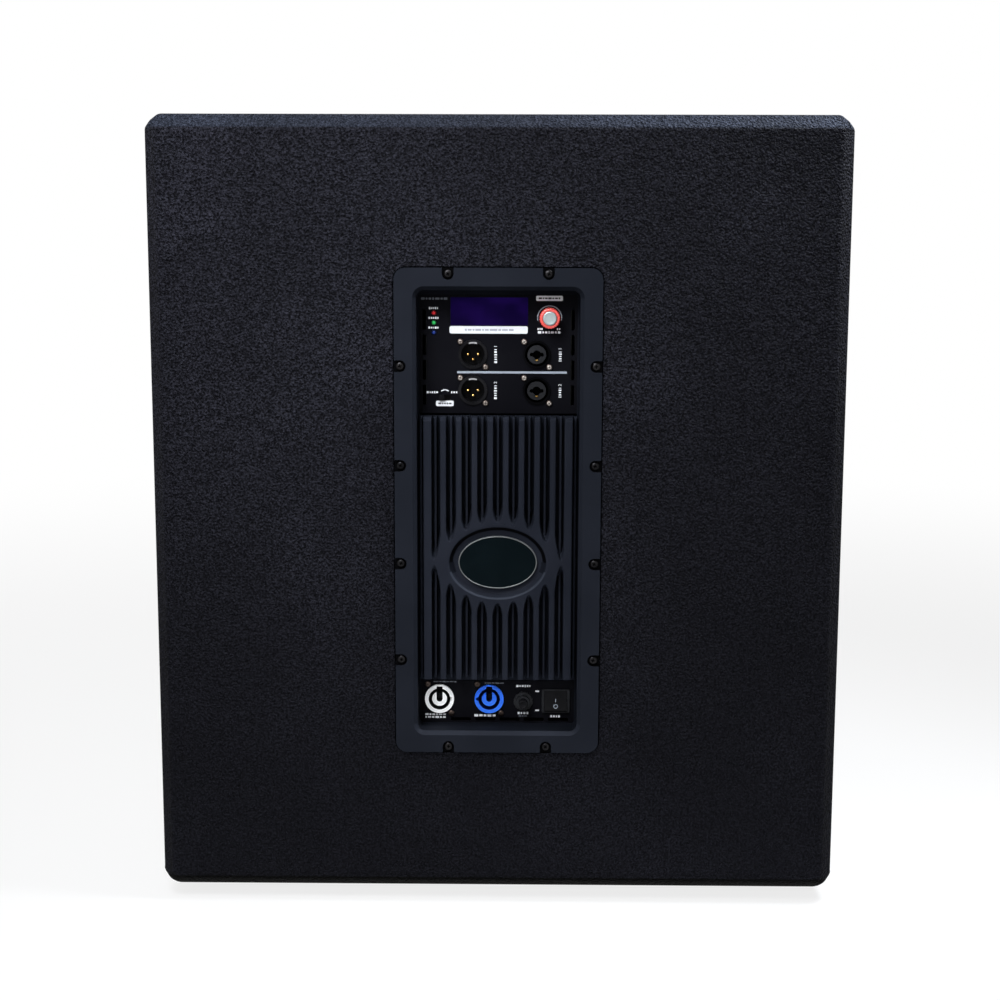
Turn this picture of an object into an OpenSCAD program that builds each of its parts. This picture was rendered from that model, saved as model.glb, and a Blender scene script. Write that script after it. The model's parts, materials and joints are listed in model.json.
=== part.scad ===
// Powered subwoofer for stage use, seen from its amplifier side at -Y.
// The grille faces +Y and +Z is up. The origin is under the middle of the feet.

/* [Cabinet] */
// Width of the cabinet
cab_w = 540; // [525:1:700]
// Height of the cabinet without its feet
cab_h = 612; // [600:1:800]
// Depth of the cabinet from rear face to front edge
cab_d = 600; // [520:1:750]
// Thickness of the plywood
wall = 18; // [15:0.5:21]
// Bevel along every outer edge
edge_bevel = 10.5; // [6:0.5:14]
// Height of the rubber feet
foot_h = 10; // [6:1:20]
// Radius of a foot where it meets the cabinet
foot_r = 20; // [15:1:30]
// Distance from a foot's centre to the sides of the cabinet
foot_inset_x = 55; // [40:1:90]
// Distance from a foot's centre to the rear and front faces
foot_inset_y = 70; // [65:1:120]

/* [Front] */
// How far the baffle lies behind the front edge
baffle_inset = 45; // [42:1:60]
// Height of the bass slot under the shelf
slot_h = 66; // [40:1:70]
// Depth of the shelf that forms the slot
shelf_len = 300; // [150:1:340]
// Thickness of the grille's sheet steel
grille_t = 1.5; // [1:0.1:2.5]
// Depth of the grille's folded rim
grille_rim = 14; // [10:1:16]
// How far the grille's face lies behind the front edge
grille_inset = 3; // [1:0.5:5]
// Gap round the grille
grille_gap = 1.5; // [0.8:0.1:3]
// Diameter of one hole in the grille
hole_d = 19; // [10:0.5:21]
// Distance between the holes in the grille
hole_pitch = 26; // [22:0.5:34]
// Thickness of the foam behind the grille
foam_t = 6; // [3:0.5:7]

/* [Driver] */
// Room between the driver's rim and the wood round it
driver_gap = 4; // [2:0.5:14]
// How far the driver's rim laps over the baffle
driver_lap = 20; // [19:0.5:21]
// Thickness of the basket's front flange
basket_flange_t = 8; // [6:0.5:10]
// Depth of the basket behind the baffle's face
basket_depth = 122; // [112:1:130]
// Radius of the magnet
magnet_r = 110; // [90:1:120]
// Thickness of the magnet
magnet_t = 25; // [15:1:35]
// Radius of the voice coil's former, inside
coil_r = 50; // [40:0.5:52]
// Greatest travel of the cone, each way
cone_travel = 6; // [2:0.5:7]
// Distance from the driver bolts to the driver's rim
bolt_inset = 11; // [10:0.5:12]
// Number of driver bolts
bolt_count = 8; // [6:2:12]

/* [Handles and pole] */
// Height of the handles above the cabinet's bottom
handle_up = 400; // [300:1:460]
// Width of a handle's flange
handle_w = 200; // [180:1:230]
// Height of a handle's flange
handle_h = 150; // [140:1:170]
// Depth of a handle's cup
cup_depth = 58; // [50:1:70]
// Radius of a handle's bar
bar_r = 11; // [8:0.5:14]
// Diameter of the speaker pole
pole_d = 35; // [30:0.5:38]
// Clearance round the pole
pole_gap = 0.4; // [0.1:0.05:0.8]
// Depth of the pole socket
pole_depth = 90; // [60:1:110]
// Radius of the pole socket's flange
pole_flange_r = 55; // [48:1:70]

/* [Amplifier frame] */
// Width of the amplifier's frame
plate_w = 160; // [156:1:180]
// Height of the amplifier's frame
plate_h = 381; // [376:1:420]
// How far the frame stands out of the cabinet
plate_proud = 2; // [1:0.5:3]
// Thickness of the frame's flange
flange_t = 5; // [4:0.5:7]
// Corner radius of the frame
plate_r = 9; // [5:0.5:12]
// Width of the well in the frame
well_w = 126; // [125:0.5:132]
// Height of the well in the frame
well_h = 347; // [345:0.5:355]
// Depth of the well below the cabinet's face
well_depth = 25; // [18:0.5:32]
// Bevel of the well's mouth
mouth_bevel = 3; // [1:0.5:4]
// Thickness of the amplifier's gasket
gasket_t = 1; // [0.5:0.1:2]
// Gap between the frame and the rebate that it lies in
rebate_gap = 1; // [0.5:0.1:2]
// Distance from a frame screw to the frame's edge
screw_edge = 4.6; // [4:0.1:6]
// Distance between the two screws along the top and the bottom
screw_pitch_x = 77; // [60:1:90]
// Distance between the screws along each side
screw_pitch_y = 77; // [65:1:80]
// Depth of the steel box behind the panel
cover_depth = 84; // [70:1:110]

/* [Heatsink] */
// Height of the control panel in sight
control_h = 93; // [92.5:0.5:96]
// Height of the mains panel in sight
mains_h = 35; // [34:0.5:38]
// Distance between the wide ribs
rib_pitch = 12.25; // [11:0.25:12.5]
// Width of a wide rib at its top
rib_w = 4.2; // [3:0.1:5]
// Width of a thin rib at its top
fin_w = 2; // [1:0.1:2.5]
// Height of the wide ribs above the grooves
rib_h = 17; // [10:0.5:20]
// Height of the thin ribs above the grooves
fin_h = 11; // [6:0.5:15]
// Thickness of the heatsink's base
sink_base = 8; // [5:0.5:12]
// Half width of the badge
badge_a = 31; // [20:0.5:36]
// Half height of the badge
badge_b = 21; // [15:0.5:26]

/* [Controls and sockets] */
// Thickness of the panels' sheet steel
sheet_t = 2; // [1.5:0.1:3]
// Width of the display window
display_w = 60.4; // [50:0.5:64]
// Height of the display window
display_h = 21.8; // [15:0.5:23]
// Radius of an indicator light
led_r = 2; // [1:0.1:2.5]
// Radius of the knob
knob_r = 8.25; // [7:0.25:9.5]
// Height of the knob
knob_h = 12; // [10:0.5:14]
// Radius of the encoder's shaft
shaft_r = 3; // [2:0.1:3.2]
// Travel of the knob when it is pressed
knob_push = 0.5; // [0.3:0.1:0.8]
// Outer radius of an audio output socket
xlr_r = 11.4; // [10.5:0.1:11.4]
// Inner radius of an audio output socket
xlr_well_r = 9.3; // [9:0.1:9.6]
// Outer radius of an audio input socket
combo_r = 10.9; // [10.2:0.1:11.3]
// Distance between the two rows of audio sockets
socket_pitch = 28.3; // [27:0.1:30]
// Half of the hole spacing of an audio socket
socket_hole = 9.9; // [9.7:0.1:10.3]
// Outer radius of a mains connector
mains_r = 11.7; // [11:0.1:11.9]
// Inner radius of a mains connector
mains_well_r = 8.7; // [8.5:0.1:9]
// Travel of the ground switch
ground_travel = 5; // [3:0.1:5.4]
// Travel of the reset button
reset_travel = 2; // [1:0.1:2.5]
// Swing of the power rocker from one side to the other
rocker_swing = 20; // [12:1:22]
// Width of the power rocker
rocker_w = 18.2; // [16:0.2:19]
// Height of the power rocker
rocker_h = 16.2; // [15:0.2:16.4]

/* [Hidden] */
$fn = 64;

coat = "#1b1c20";
cast = "#23262e";
steel = "#8d9197";
gold = "#c9a24a";
black_plastic = "#17181b";
ply = "#b98d5a";
running = 0.15;   // clearance of a piece that slides or turns
snug = 0.05;      // clearance of a piece that is fixed in its hole
eps = 0.01;

rear_y = -(cab_d - plate_proud) / 2;
front_y = rear_y + cab_d;
base_z = foot_h;
top_z = base_z + cab_h;
mid_z = base_z + cab_h / 2;
inner_w = cab_w - 2 * wall;
floor_z = base_z + wall;
ceiling_z = top_z - wall;
well_wall = 3.5;
well_outer_w = well_w + 2 * well_wall;
well_outer_h = well_h + 2 * well_wall;

// ---- shared shapes ----

module round_rect(w, h, r) {
    square([w - 2 * r, h], center = true);
    square([w, h - 2 * r], center = true);
    for (sx = [-1, 1], sy = [-1, 1])
        translate([sx * (w / 2 - r), sy * (h / 2 - r)]) circle(r = r);
}

module slab(w, h, r, t, z = 0) {
    translate([0, 0, z]) linear_extrude(height = t) round_rect(w, h, r);
}

module block(w, h, t, z = 0) {
    translate([-w / 2, -h / 2, z]) cube([w, h, t]);
}

module tube(r_out, r_in, h, z = 0) {
    translate([0, 0, z]) difference() {
        cylinder(r = r_out, h = h);
        translate([0, 0, -eps]) cylinder(r = r_in, h = h + 2 * eps);
    }
}

module ring_at(count, radius) {
    for (i = [0 : count - 1])
        rotate([0, 0, (i + 0.5) * 360 / count]) translate([radius, 0, 0]) children();
}

// A frame on the rear face: X to the viewer's right, Y up, Z out of the cabinet.
module on_rear() {
    translate([0, rear_y, mid_z]) rotate([90, 0, 0]) children();
}

// A frame on the baffle: Z out of the cabinet's front.
module on_baffle() {
    translate([0, front_y - baffle_inset, driver_z]) rotate([90, 0, 180]) children();
}

module on_side(side) {
    translate([side * cab_w / 2, 0, base_z + handle_up]) rotate([90, 0, 90 * side]) children();
}

module on_top() {
    translate([0, 0, top_z]) children();
}

// ---- cabinet ----

function bevelled(a, b, c) = [
    [-a / 2 + c, -b / 2], [a / 2 - c, -b / 2], [a / 2, -b / 2 + c], [a / 2, b / 2 - c],
    [a / 2 - c, b / 2], [-a / 2 + c, b / 2], [-a / 2, b / 2 - c], [-a / 2, -b / 2 + c]
];

module cabinet_outline() {
    translate([0, (rear_y + front_y) / 2, mid_z]) intersection() {
        rotate([90, 0, 0])
            linear_extrude(height = cab_d, center = true) polygon(bevelled(cab_w, cab_h, edge_bevel));
        linear_extrude(height = cab_h, center = true) polygon(bevelled(cab_w, cab_d, edge_bevel));
        rotate([90, 0, 90])
            linear_extrude(height = cab_w, center = true) polygon(bevelled(cab_d, cab_h, edge_bevel));
    }
}

module cabinet_slice(x0, x1, z0, z1) {
    intersection() {
        cabinet_outline();
        translate([x0, rear_y, z0]) cube([x1 - x0, cab_d, z1 - z0]);
    }
}

handle_flange_t = 4;
handle_screw_x = handle_w / 2 - 9;
handle_screw_y = handle_h / 2 - 9;
cup_wall = 3;
cup_w = handle_w - 36;
cup_h = handle_h - 36;
cup_r = 18;
pole_flange_t = 4;
pole_screw_r = pole_flange_r - 10;
pole_wall = 4;
pole_bore_r = pole_d / 2 + pole_gap;
pole_tube_r = pole_bore_r + pole_wall;
wood_screw_r = 2.4;
wood_screw_head_r = 4.8;
wood_screw_head_h = 2.6;
wood_screw_l = 13;

module handle_corners() {
    for (sx = [-1, 1], sy = [-1, 1])
        translate([sx * handle_screw_x, sy * handle_screw_y, 0]) children();
}

module foot_places() {
    for (sx = [-1, 1], y = [rear_y + foot_inset_y, front_y - foot_inset_y])
        translate([sx * (cab_w / 2 - foot_inset_x), y, 0]) children();
}

// The hole that a wood screw leaves in plywood, driven down from z.
module wood_pilot(z) {
    translate([0, 0, z - wood_screw_l - 1]) cylinder(r = wood_screw_r + snug, h = wood_screw_l + 1 + eps);
}

module wood_screw(z, l = wood_screw_l) {
    translate([0, 0, z - l]) cylinder(r = wood_screw_r, h = l + eps);
    difference() {
        translate([0, 0, z]) cylinder(r = wood_screw_head_r, h = wood_screw_head_h);
        translate([0, 0, z + wood_screw_head_h - 1.4]) cylinder(r = 1.8, h = 2, $fn = 6);
    }
}

module top_panel() {
    color(coat) difference() {
        cabinet_slice(-cab_w / 2, cab_w / 2, ceiling_z, top_z);
        on_top() {
            translate([0, 0, -pole_flange_t]) cylinder(r = pole_flange_r + snug, h = pole_flange_t + 1);
            translate([0, 0, -wall - 1]) cylinder(r = pole_tube_r + snug, h = wall + 2);
            ring_at(4, pole_screw_r) wood_pilot(-pole_flange_t);
        }
    }
}

module bottom_panel() {
    color(coat) difference() {
        cabinet_slice(-cab_w / 2, cab_w / 2, base_z, floor_z);
        translate([0, 0, base_z]) foot_places() mirror([0, 0, 1]) wood_pilot(0);
    }
}

module side_panel(side) {
    color(coat) difference() {
        cabinet_slice(
            side > 0 ? cab_w / 2 - wall : -cab_w / 2, side > 0 ? cab_w / 2 : -cab_w / 2 + wall,
            floor_z, ceiling_z
        );
        on_side(side) {
            slab(handle_w + 2 * snug, handle_h + 2 * snug, cup_r, handle_flange_t + 1, -handle_flange_t);
            slab(cup_w + 2 * cup_wall + 2, cup_h + 2 * cup_wall + 2, cup_r, wall + 2, -wall - 1);
            handle_corners() wood_pilot(-handle_flange_t);
        }
    }
}

module rear_panel() {
    color(coat) difference() {
        translate([-inner_w / 2, rear_y, floor_z]) cube([inner_w, wall, ceiling_z - floor_z]);
        on_rear() {
            slab(
                plate_w + 2 * rebate_gap, plate_h + 2 * rebate_gap, plate_r + rebate_gap,
                rebate_depth + 1, -rebate_depth
            );
            slab(well_outer_w + 5, well_outer_h + 5, plate_r, wall + 2, -wall - 1);
            frame_screw_places()
                translate([0, 0, -wall - 1]) cylinder(r = frame_screw_r + snug, h = wall + 1);
        }
    }
}

// ---- front: baffle, bass slot, grille ----

shelf_top = floor_z + slot_h + wall;
driver_z = (shelf_top + ceiling_z) / 2;
batten_w = 18;
driver_d = min(inner_w - 2 * batten_w, ceiling_z - shelf_top) - 2 * driver_gap;
baffle_hole_d = driver_d - 2 * driver_lap;
bolt_circle_d = driver_d - 2 * bolt_inset;
brace_d = 70;
brace_y = -handle_w / 2 - 6 - brace_d / 2;
brace_z = mid_z + well_outer_h / 2 + 20;

module front_baffle() {
    color(coat) difference() {
        union() {
            translate([-inner_w / 2, front_y - baffle_inset - wall, shelf_top])
                cube([inner_w, wall, ceiling_z - shelf_top]);
            // Battens down both sides carry the grille's rim.
            for (x = [-inner_w / 2, inner_w / 2 - batten_w])
                translate([x, front_y - baffle_inset - eps, shelf_top])
                    cube([batten_w, baffle_inset - grille_inset - grille_rim + eps, ceiling_z - shelf_top]);
        }
        grille_screw_places() wood_pilot(-grille_rim);
        on_baffle() {
            translate([0, 0, -wall - 1]) cylinder(d = baffle_hole_d, h = wall + 2, $fn = 128);
            ring_at(bolt_count, bolt_circle_d / 2)
                translate([0, 0, -wall - 1]) cylinder(r = bolt_r + snug, h = wall + 2);
        }
    }
}

module port_shelf() {
    color(coat) difference() {
        translate([-inner_w / 2, front_y - baffle_inset - shelf_len, shelf_top - wall])
            cube([inner_w, shelf_len, wall]);
        // Both ends of the slot are rounded off for the air.
        for (y = [front_y - baffle_inset, front_y - baffle_inset - shelf_len])
            translate([0, y, shelf_top - wall]) rotate([45, 0, 0])
                cube([inner_w + 2, wall / 2, wall / 2], center = true);
    }
}

module cross_brace() {
    color(ply) translate([-inner_w / 2, brace_y - brace_d / 2, brace_z])
        cube([inner_w, brace_d, wall]);
}

grille_w = inner_w - 2 * grille_gap;
grille_h = ceiling_z - floor_z - 2 * grille_gap;
grille_face_y = front_y - grille_inset;
grille_border = 20;
hole_cols = floor((grille_w - 2 * grille_border - hole_d) / hole_pitch);
hole_rows = floor((grille_h - 2 * grille_border - hole_d) / (hole_pitch * sin(60)));

// A frame on the grille's face, with Z out of the front.
module on_grille() {
    translate([0, grille_face_y, mid_z]) rotate([90, 0, 180]) children();
}

// Three long screws down each side hold the grille to the battens.
module grille_screw_places() {
    for (sx = [-1, 1], up = [0.05, 0.5, 0.95])
        translate([
            sx * (inner_w / 2 - batten_w / 2), grille_face_y,
            shelf_top + up * (ceiling_z - shelf_top)
        ]) rotate([-90, 0, 0]) children();
}

module grille() {
    color(black_plastic) difference() {
        grille_sheet();
        grille_screw_places() translate([0, 0, -5]) cylinder(r = wood_screw_r + snug, h = 10);
    }
}

module grille_sheet() {
    on_grille() {
        translate([0, 0, -grille_t]) linear_extrude(height = grille_t) difference() {
            square([grille_w, grille_h], center = true);
            for (j = [0 : hole_rows], i = [0 : hole_cols - (j % 2)])
                translate([
                    (i - (hole_cols - (j % 2)) / 2) * hole_pitch,
                    (j - hole_rows / 2) * hole_pitch * sin(60)
                ]) circle(d = hole_d, $fn = 24);
        }
        difference() {
            block(grille_w, grille_h, grille_rim - grille_t + eps, -grille_rim);
            block(grille_w - 2 * grille_t, grille_h - 2 * grille_t, grille_rim, -grille_rim - 1);
        }
    }
}

module grille_foam() {
    color("#101012") on_grille()
        block(inner_w - 2 * batten_w, grille_h - 2 * grille_t - 2, foam_t, -grille_t - foam_t);
}

// ---- handles, pole socket, feet and their screws ----

module handle(side) {
    color(black_plastic) on_side(side) {
        difference() {
            union() {
                slab(handle_w, handle_h, cup_r, handle_flange_t, -handle_flange_t);
                slab(cup_w + 2 * cup_wall, cup_h + 2 * cup_wall, cup_r, cup_depth, -cup_depth - eps);
            }
            slab(cup_w, cup_h, cup_r - cup_wall, cup_depth, -cup_depth + cup_wall);
            handle_corners() {
                translate([0, 0, -handle_flange_t - 1]) cylinder(r = wood_screw_r + snug, h = 10);
                translate([0, 0, -handle_flange_t + 1]) cylinder(r = wood_screw_head_r + running, h = 10);
            }
        }
        translate([0, 0, -bar_r - 3]) rotate([0, 90, 0])
            cylinder(r = bar_r, h = cup_w + cup_wall, center = true);
    }
}

module pole_socket() {
    color(black_plastic) on_top() difference() {
        union() {
            translate([0, 0, -pole_flange_t]) cylinder(r = pole_flange_r, h = pole_flange_t);
            translate([0, 0, -pole_depth - pole_wall]) cylinder(r = pole_tube_r, h = pole_depth + pole_wall);
        }
        translate([0, 0, -pole_depth]) cylinder(r = pole_bore_r, h = pole_depth + 1);
        ring_at(4, pole_screw_r) {
            translate([0, 0, -pole_flange_t - 1]) cylinder(r = wood_screw_r + snug, h = 10);
            translate([0, 0, -pole_flange_t + 1]) cylinder(r = wood_screw_head_r + running, h = 10);
        }
    }
}

module rubber_feet() {
    color("#0e0e0f") foot_places() difference() {
        cylinder(r1 = foot_r * 0.85, r2 = foot_r, h = foot_h);
        translate([0, 0, -1]) cylinder(r = wood_screw_r + snug, h = foot_h + 2);
        translate([0, 0, -1]) cylinder(r = wood_screw_head_r + 1, h = foot_h / 2 + 1);
    }
}

module cabinet_screws() {
    color(steel) {
        for (side = [-1, 1]) on_side(side) handle_corners() wood_screw(-handle_flange_t + 1);
        on_top() ring_at(4, pole_screw_r) wood_screw(-pole_flange_t + 1);
        foot_places() translate([0, 0, foot_h / 2]) mirror([0, 0, 1]) wood_screw(0);
        grille_screw_places() wood_screw(0, grille_rim + wood_screw_l - 1);
    }
}

// ---- driver ----

bolt_r = 2.9;
bolt_head_r = 5;
bolt_l = 30;
basket_t = 4;
cone_t = 1.6;
roll_r = 9;
land_w = 6;                                    // glued rim of cone, surround and spider
basket_in_r = baffle_hole_d / 2 - 4;           // inside of the basket's mouth
roll_out_r = basket_in_r - 2;
cone_out_r = roll_out_r - 2 * roll_r;
front_ledge = basket_flange_t - 2;             // where the surround's outer rim is glued
plate_t = 10;                                  // steel plates of the magnet
seat_z = -basket_depth;
gap_r = coil_r + 3;
pole_r = coil_r - 0.8;
former_t = 0.8;
winding_t = 1.2;
winding_h = 26;
neck_rise = 48;
spider_rise = 26;
spider_reach = 44;
neck_z = seat_z + neck_rise;                   // where the cone meets the former
spider_z = seat_z + spider_rise;
spider_r = coil_r + spider_reach;
former_r = coil_r + former_t;

// Height of the cone's front face at radius r, slightly curved.
function cone_z(r) =
    let (f = (r - former_r) / (cone_out_r - land_w - former_r))
    neck_z + (front_ledge - neck_z) * (0.85 * f + 0.15 * f * f);

cone_rings = [for (i = [0 : 8]) former_r + (cone_out_r - land_w - former_r) * i / 8];

module basket() {
    color("#202226") on_baffle() {
        difference() {
            rotate_extrude($fn = 128) polygon([
                [basket_in_r, 0], [basket_in_r, front_ledge - basket_t],
                [basket_in_r - 1, front_ledge - 1], [basket_in_r - 1, front_ledge],
                [basket_in_r + land_w, front_ledge], [basket_in_r + land_w, basket_flange_t],
                [driver_d / 2, basket_flange_t], [driver_d / 2, 0],
                [basket_in_r + basket_t - 0.5, 0], [basket_in_r + basket_t - 0.5, -wall],
                [spider_r + land_w + basket_t, spider_z - 12], [spider_r + land_w + basket_t, seat_z],
                [gap_r + 4, seat_z], [gap_r + 4, seat_z + 8], [spider_r - 8, seat_z + 8],
                [spider_r, spider_z - 1], [spider_r + land_w, spider_z - 1], [spider_r + land_w, spider_z + 3],
                [basket_in_r, -wall]
            ]);
            ring_at(bolt_count, bolt_circle_d / 2)
                translate([0, 0, -1]) cylinder(r = bolt_r + snug, h = basket_flange_t + 2);
            // Six windows between the spokes.
            for (i = [0 : 5]) rotate([0, 0, i * 60])
                translate([0, 0, spider_z + 6]) linear_extrude(height = -wall - 6 - (spider_z + 6))
                    polygon([
                        [spider_r - 4, -spider_r * 0.42], [driver_d / 2, -driver_d / 2 * 0.45],
                        [driver_d / 2, driver_d / 2 * 0.45], [spider_r - 4, spider_r * 0.42]
                    ]);
        }
    }
}

module basket_gasket() {
    color("#121213") on_baffle() difference() {
        tube(driver_d / 2, basket_in_r + land_w + 0.5, 2, basket_flange_t);
        ring_at(bolt_count, bolt_circle_d / 2)
            translate([0, 0, basket_flange_t - 1]) cylinder(r = bolt_head_r + running, h = 4);
    }
}

module surround() {
    color("#0c0c0d") on_baffle() rotate_extrude($fn = 128) {
        translate([cone_out_r + roll_r, front_ledge]) difference() {
            circle(r = roll_r);
            circle(r = roll_r - 1.2);
            translate([-roll_r - 1, -2 * roll_r]) square([2 * roll_r + 2, 2 * roll_r]);
        }
        translate([cone_out_r - land_w, front_ledge]) square([land_w + 1.2, 1.2]);
        translate([roll_out_r - 1.2, front_ledge]) square([land_w + 1.2, 1.2]);
    }
}

module cone() {
    color("#1c1c1e") on_baffle() rotate_extrude($fn = 128)
        polygon(concat(
            [for (r = cone_rings) [r, cone_z(r)]],
            [[cone_out_r, front_ledge], [cone_out_r, front_ledge - cone_t]],
            [for (i = [8 : -1 : 0]) [cone_rings[i], cone_z(cone_rings[i]) - cone_t]]
        ));
}

dust_r = coil_r + 16;
dust_rise = 20;
dust_t = 1;
dust_ball_r = (dust_r * dust_r + dust_rise * dust_rise) / (2 * dust_rise);
dust_half = asin(dust_r / dust_ball_r);

module dust_cap() {
    color("#141415") on_baffle() rotate_extrude($fn = 96)
        translate([0, cone_z(dust_r) + dust_rise + snug - dust_ball_r])
            polygon(concat(
                [for (i = [0 : 12]) (dust_ball_r + dust_t) * [sin(dust_half * i / 12), cos(dust_half * i / 12)]],
                [for (i = [12 : -1 : 0]) dust_ball_r * [sin(dust_half * i / 12), cos(dust_half * i / 12)]]
            ));
}

module voice_coil() {
    color("#b4652f") on_baffle() {
        tube(former_r, coil_r, neck_z - seat_z + winding_h / 2 + plate_t / 2 + 2, seat_z - plate_t / 2 - winding_h / 2);
        tube(former_r + winding_t, former_r - eps, winding_h, seat_z - plate_t / 2 - winding_h / 2);
    }
}

spider_waves = 5;
spider_wave_h = 2.5;
spider_t = 0.8;
spider_in_r = former_r + running;
function spider_wave(f) = spider_z + spider_wave_h * sin(f * 360 * spider_waves) * sin(f * 180);

module spider() {
    color("#c8a557") on_baffle() rotate_extrude($fn = 96)
        polygon(concat(
            [for (i = [0 : 40]) [spider_in_r + (spider_r - spider_in_r) * i / 40, spider_wave(i / 40) + spider_t]],
            [[spider_r + land_w - snug, spider_z + spider_t], [spider_r + land_w - snug, spider_z - 1]],
            [for (i = [40 : -1 : 0]) [spider_in_r + (spider_r - spider_in_r) * i / 40, spider_wave(i / 40)]]
        ));
}

module top_plate() {
    color(steel) on_baffle() tube(magnet_r - 5, gap_r, plate_t, seat_z - plate_t);
}

module magnet() {
    color("#3a3a3c") on_baffle() tube(magnet_r, gap_r + 8, magnet_t, seat_z - plate_t - magnet_t);
}

vent_r = 15;

module back_plate() {
    color(steel) on_baffle() difference() {
        union() {
            translate([0, 0, seat_z - 2 * plate_t - magnet_t]) cylinder(r = magnet_r - 5, h = plate_t);
            translate([0, 0, seat_z - 2 * plate_t - magnet_t])
                cylinder(r = pole_r, h = 2 * plate_t + magnet_t);
        }
        translate([0, 0, seat_z - 2 * plate_t - magnet_t - 1]) cylinder(r = vent_r, h = 3 * plate_t + magnet_t);
    }
}

// Two push terminals on the rim that carries the magnet.
module driver_terminals() {
    color("#8f2020") on_baffle()
        translate([0, -(spider_r + land_w + basket_t) - 5, (seat_z + spider_z - 12) / 2])
            difference() {
                cube([36, 10, 12], center = true);
                for (sx = [-1, 1]) translate([sx * 9, 0, 0]) cylinder(r = 3, h = 14, center = true);
            }
}

module driver_bolts() {
    color("#2a2a2c") on_baffle() ring_at(bolt_count, bolt_circle_d / 2) {
        translate([0, 0, basket_flange_t - bolt_l]) cylinder(r = bolt_r, h = bolt_l + eps);
        translate([0, 0, basket_flange_t]) difference() {
            cylinder(r = bolt_head_r, h = 4.5);
            translate([0, 0, 2]) cylinder(r = 2.5, h = 4, $fn = 6);
        }
    }
}

// ---- amplifier frame ----

lip_w = 1.3;
lip_t = 2;
rebate_depth = flange_t + gasket_t - plate_proud;
notch_r = 4.5;
notch_depth = 3;
frame_screw_r = 1.75;
frame_screw_head_r = 3.3;
well_r = 6;
floor_top = well_h / 2 - 3.7;                  // top edge of the panels in sight
floor_bottom = -well_h / 2;
face = -well_depth;                            // front face of the panels

module frame_screw_places() {
    for (sy = [-1, 1], sx = [-1, 1])
        translate([sx * screw_pitch_x / 2, sy * (plate_h / 2 - screw_edge), 0]) rotate([0, 0, 90 * sy]) children();
    for (sx = [-1, 1], k = [-1.5, -0.5, 0.5, 1.5])
        translate([sx * (plate_w / 2 - screw_edge), k * screw_pitch_y, 0])
            rotate([0, 0, sx > 0 ? 0 : 180]) children();
}

module amp_frame() {
    color(cast) on_rear() difference() {
        union() {
            slab(plate_w, plate_h, plate_r, flange_t, plate_proud - flange_t);
            slab(well_outer_w, well_outer_h, well_r + well_wall, well_depth + plate_proud - 1, face);
        }
        // The well, with a lip at its foot that the panels lie behind.
        slab(well_w, well_h, well_r, well_depth + 10, face + lip_t);
        translate([0, (floor_top + floor_bottom) / 2, 0])
            slab(well_w - 2 * lip_w, floor_top - floor_bottom, 2, well_depth, face - 1);
        // Bevelled mouth.
        hull() {
            slab(well_w, well_h, well_r, eps, plate_proud - mouth_bevel, $fn = 32);
            slab(
                well_w + 2 * mouth_bevel + 2, well_h + 2 * mouth_bevel + 2, well_r + mouth_bevel + 1,
                eps, plate_proud + 1, $fn = 32
            );
        }
        frame_screw_places() {
            translate([0, 0, plate_proud - flange_t - 1]) cylinder(r = frame_screw_r + 0.15, h = flange_t + 2);
            translate([0, 0, plate_proud - notch_depth]) cylinder(r = notch_r, h = notch_depth + 1);
            translate([0, -notch_r, plate_proud - notch_depth]) cube([screw_edge + 1, 2 * notch_r, notch_depth + 1]);
        }
    }
}

module amp_gasket() {
    color("#0d0d0e") on_rear() difference() {
        slab(plate_w - 1, plate_h - 1, plate_r, gasket_t, -rebate_depth);
        slab(well_outer_w + 6, well_outer_h + 6, plate_r, gasket_t + 2, -rebate_depth - 1);
        frame_screw_places()
            translate([0, 0, -rebate_depth - 1]) cylinder(r = frame_screw_r + 0.25, h = gasket_t + 2);
    }
}

module frame_screws() {
    color("#2b2c30") on_rear() frame_screw_places() {
        translate([0, 0, -wall + 1]) cylinder(r = frame_screw_r, h = wall - 1 + plate_proud - notch_depth + eps);
        translate([0, 0, plate_proud - notch_depth]) difference() {
            cylinder(r = frame_screw_head_r, h = 2.2);
            translate([0, 0, 1]) cylinder(r = 1.5, h = 2, $fn = 6);
        }
    }
}

// ---- heatsink and badge ----

control_bottom = floor_top - control_h;
mains_top = floor_bottom + mains_h;
seam = 0.2;
sink_top = control_bottom - 1.5;
sink_bottom = mains_top + seam;
sink_h = sink_top - sink_bottom;
sink_mid = (sink_top + sink_bottom) / 2;
sink_w = well_w - 2 * lip_w - 2 * seam;
rib_count = 10;
rib_end = 4;                                   // the ribs stop this far above the mains panel
badge_y = sink_mid - 8;
boss_a = badge_a + 10;
boss_b = badge_b + 10;
boss_foot = 8;
dish_a = badge_a + 6.6;
dish_b = badge_b + 7;
dish_depth = 5;
badge_t = 2.6;

function ellipse_points(a, b, n = 72) = [for (i = [0 : n - 1]) [a * cos(360 * i / n), b * sin(360 * i / n)]];

// An elliptical frustum from z up by h, with half axes a, b at its foot and a2, b2 at its top.
module oval_cone(a, b, a2, b2, h, z) {
    translate([0, badge_y, z]) linear_extrude(height = h, scale = [a2 / a, b2 / b], slices = 1)
        polygon(ellipse_points(a, b));
}

// One rib along Y: a profile with a little draft, its top end bevelled back.
module rib(x, top_w, h, bevel) {
    draft = 0.3;
    length = sink_h - rib_end;
    translate([x, sink_bottom + rib_end, face]) difference() {
        rotate([90, 0, 180]) linear_extrude(height = length)
            polygon([
                [-top_w / 2 - draft, -1], [top_w / 2 + draft, -1], [top_w / 2, h], [-top_w / 2, h]
            ]);
        translate([-top_w, length, h - bevel]) rotate([45, 0, 0]) cube([2 * top_w, 3 * bevel, 3 * bevel]);
    }
}

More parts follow.
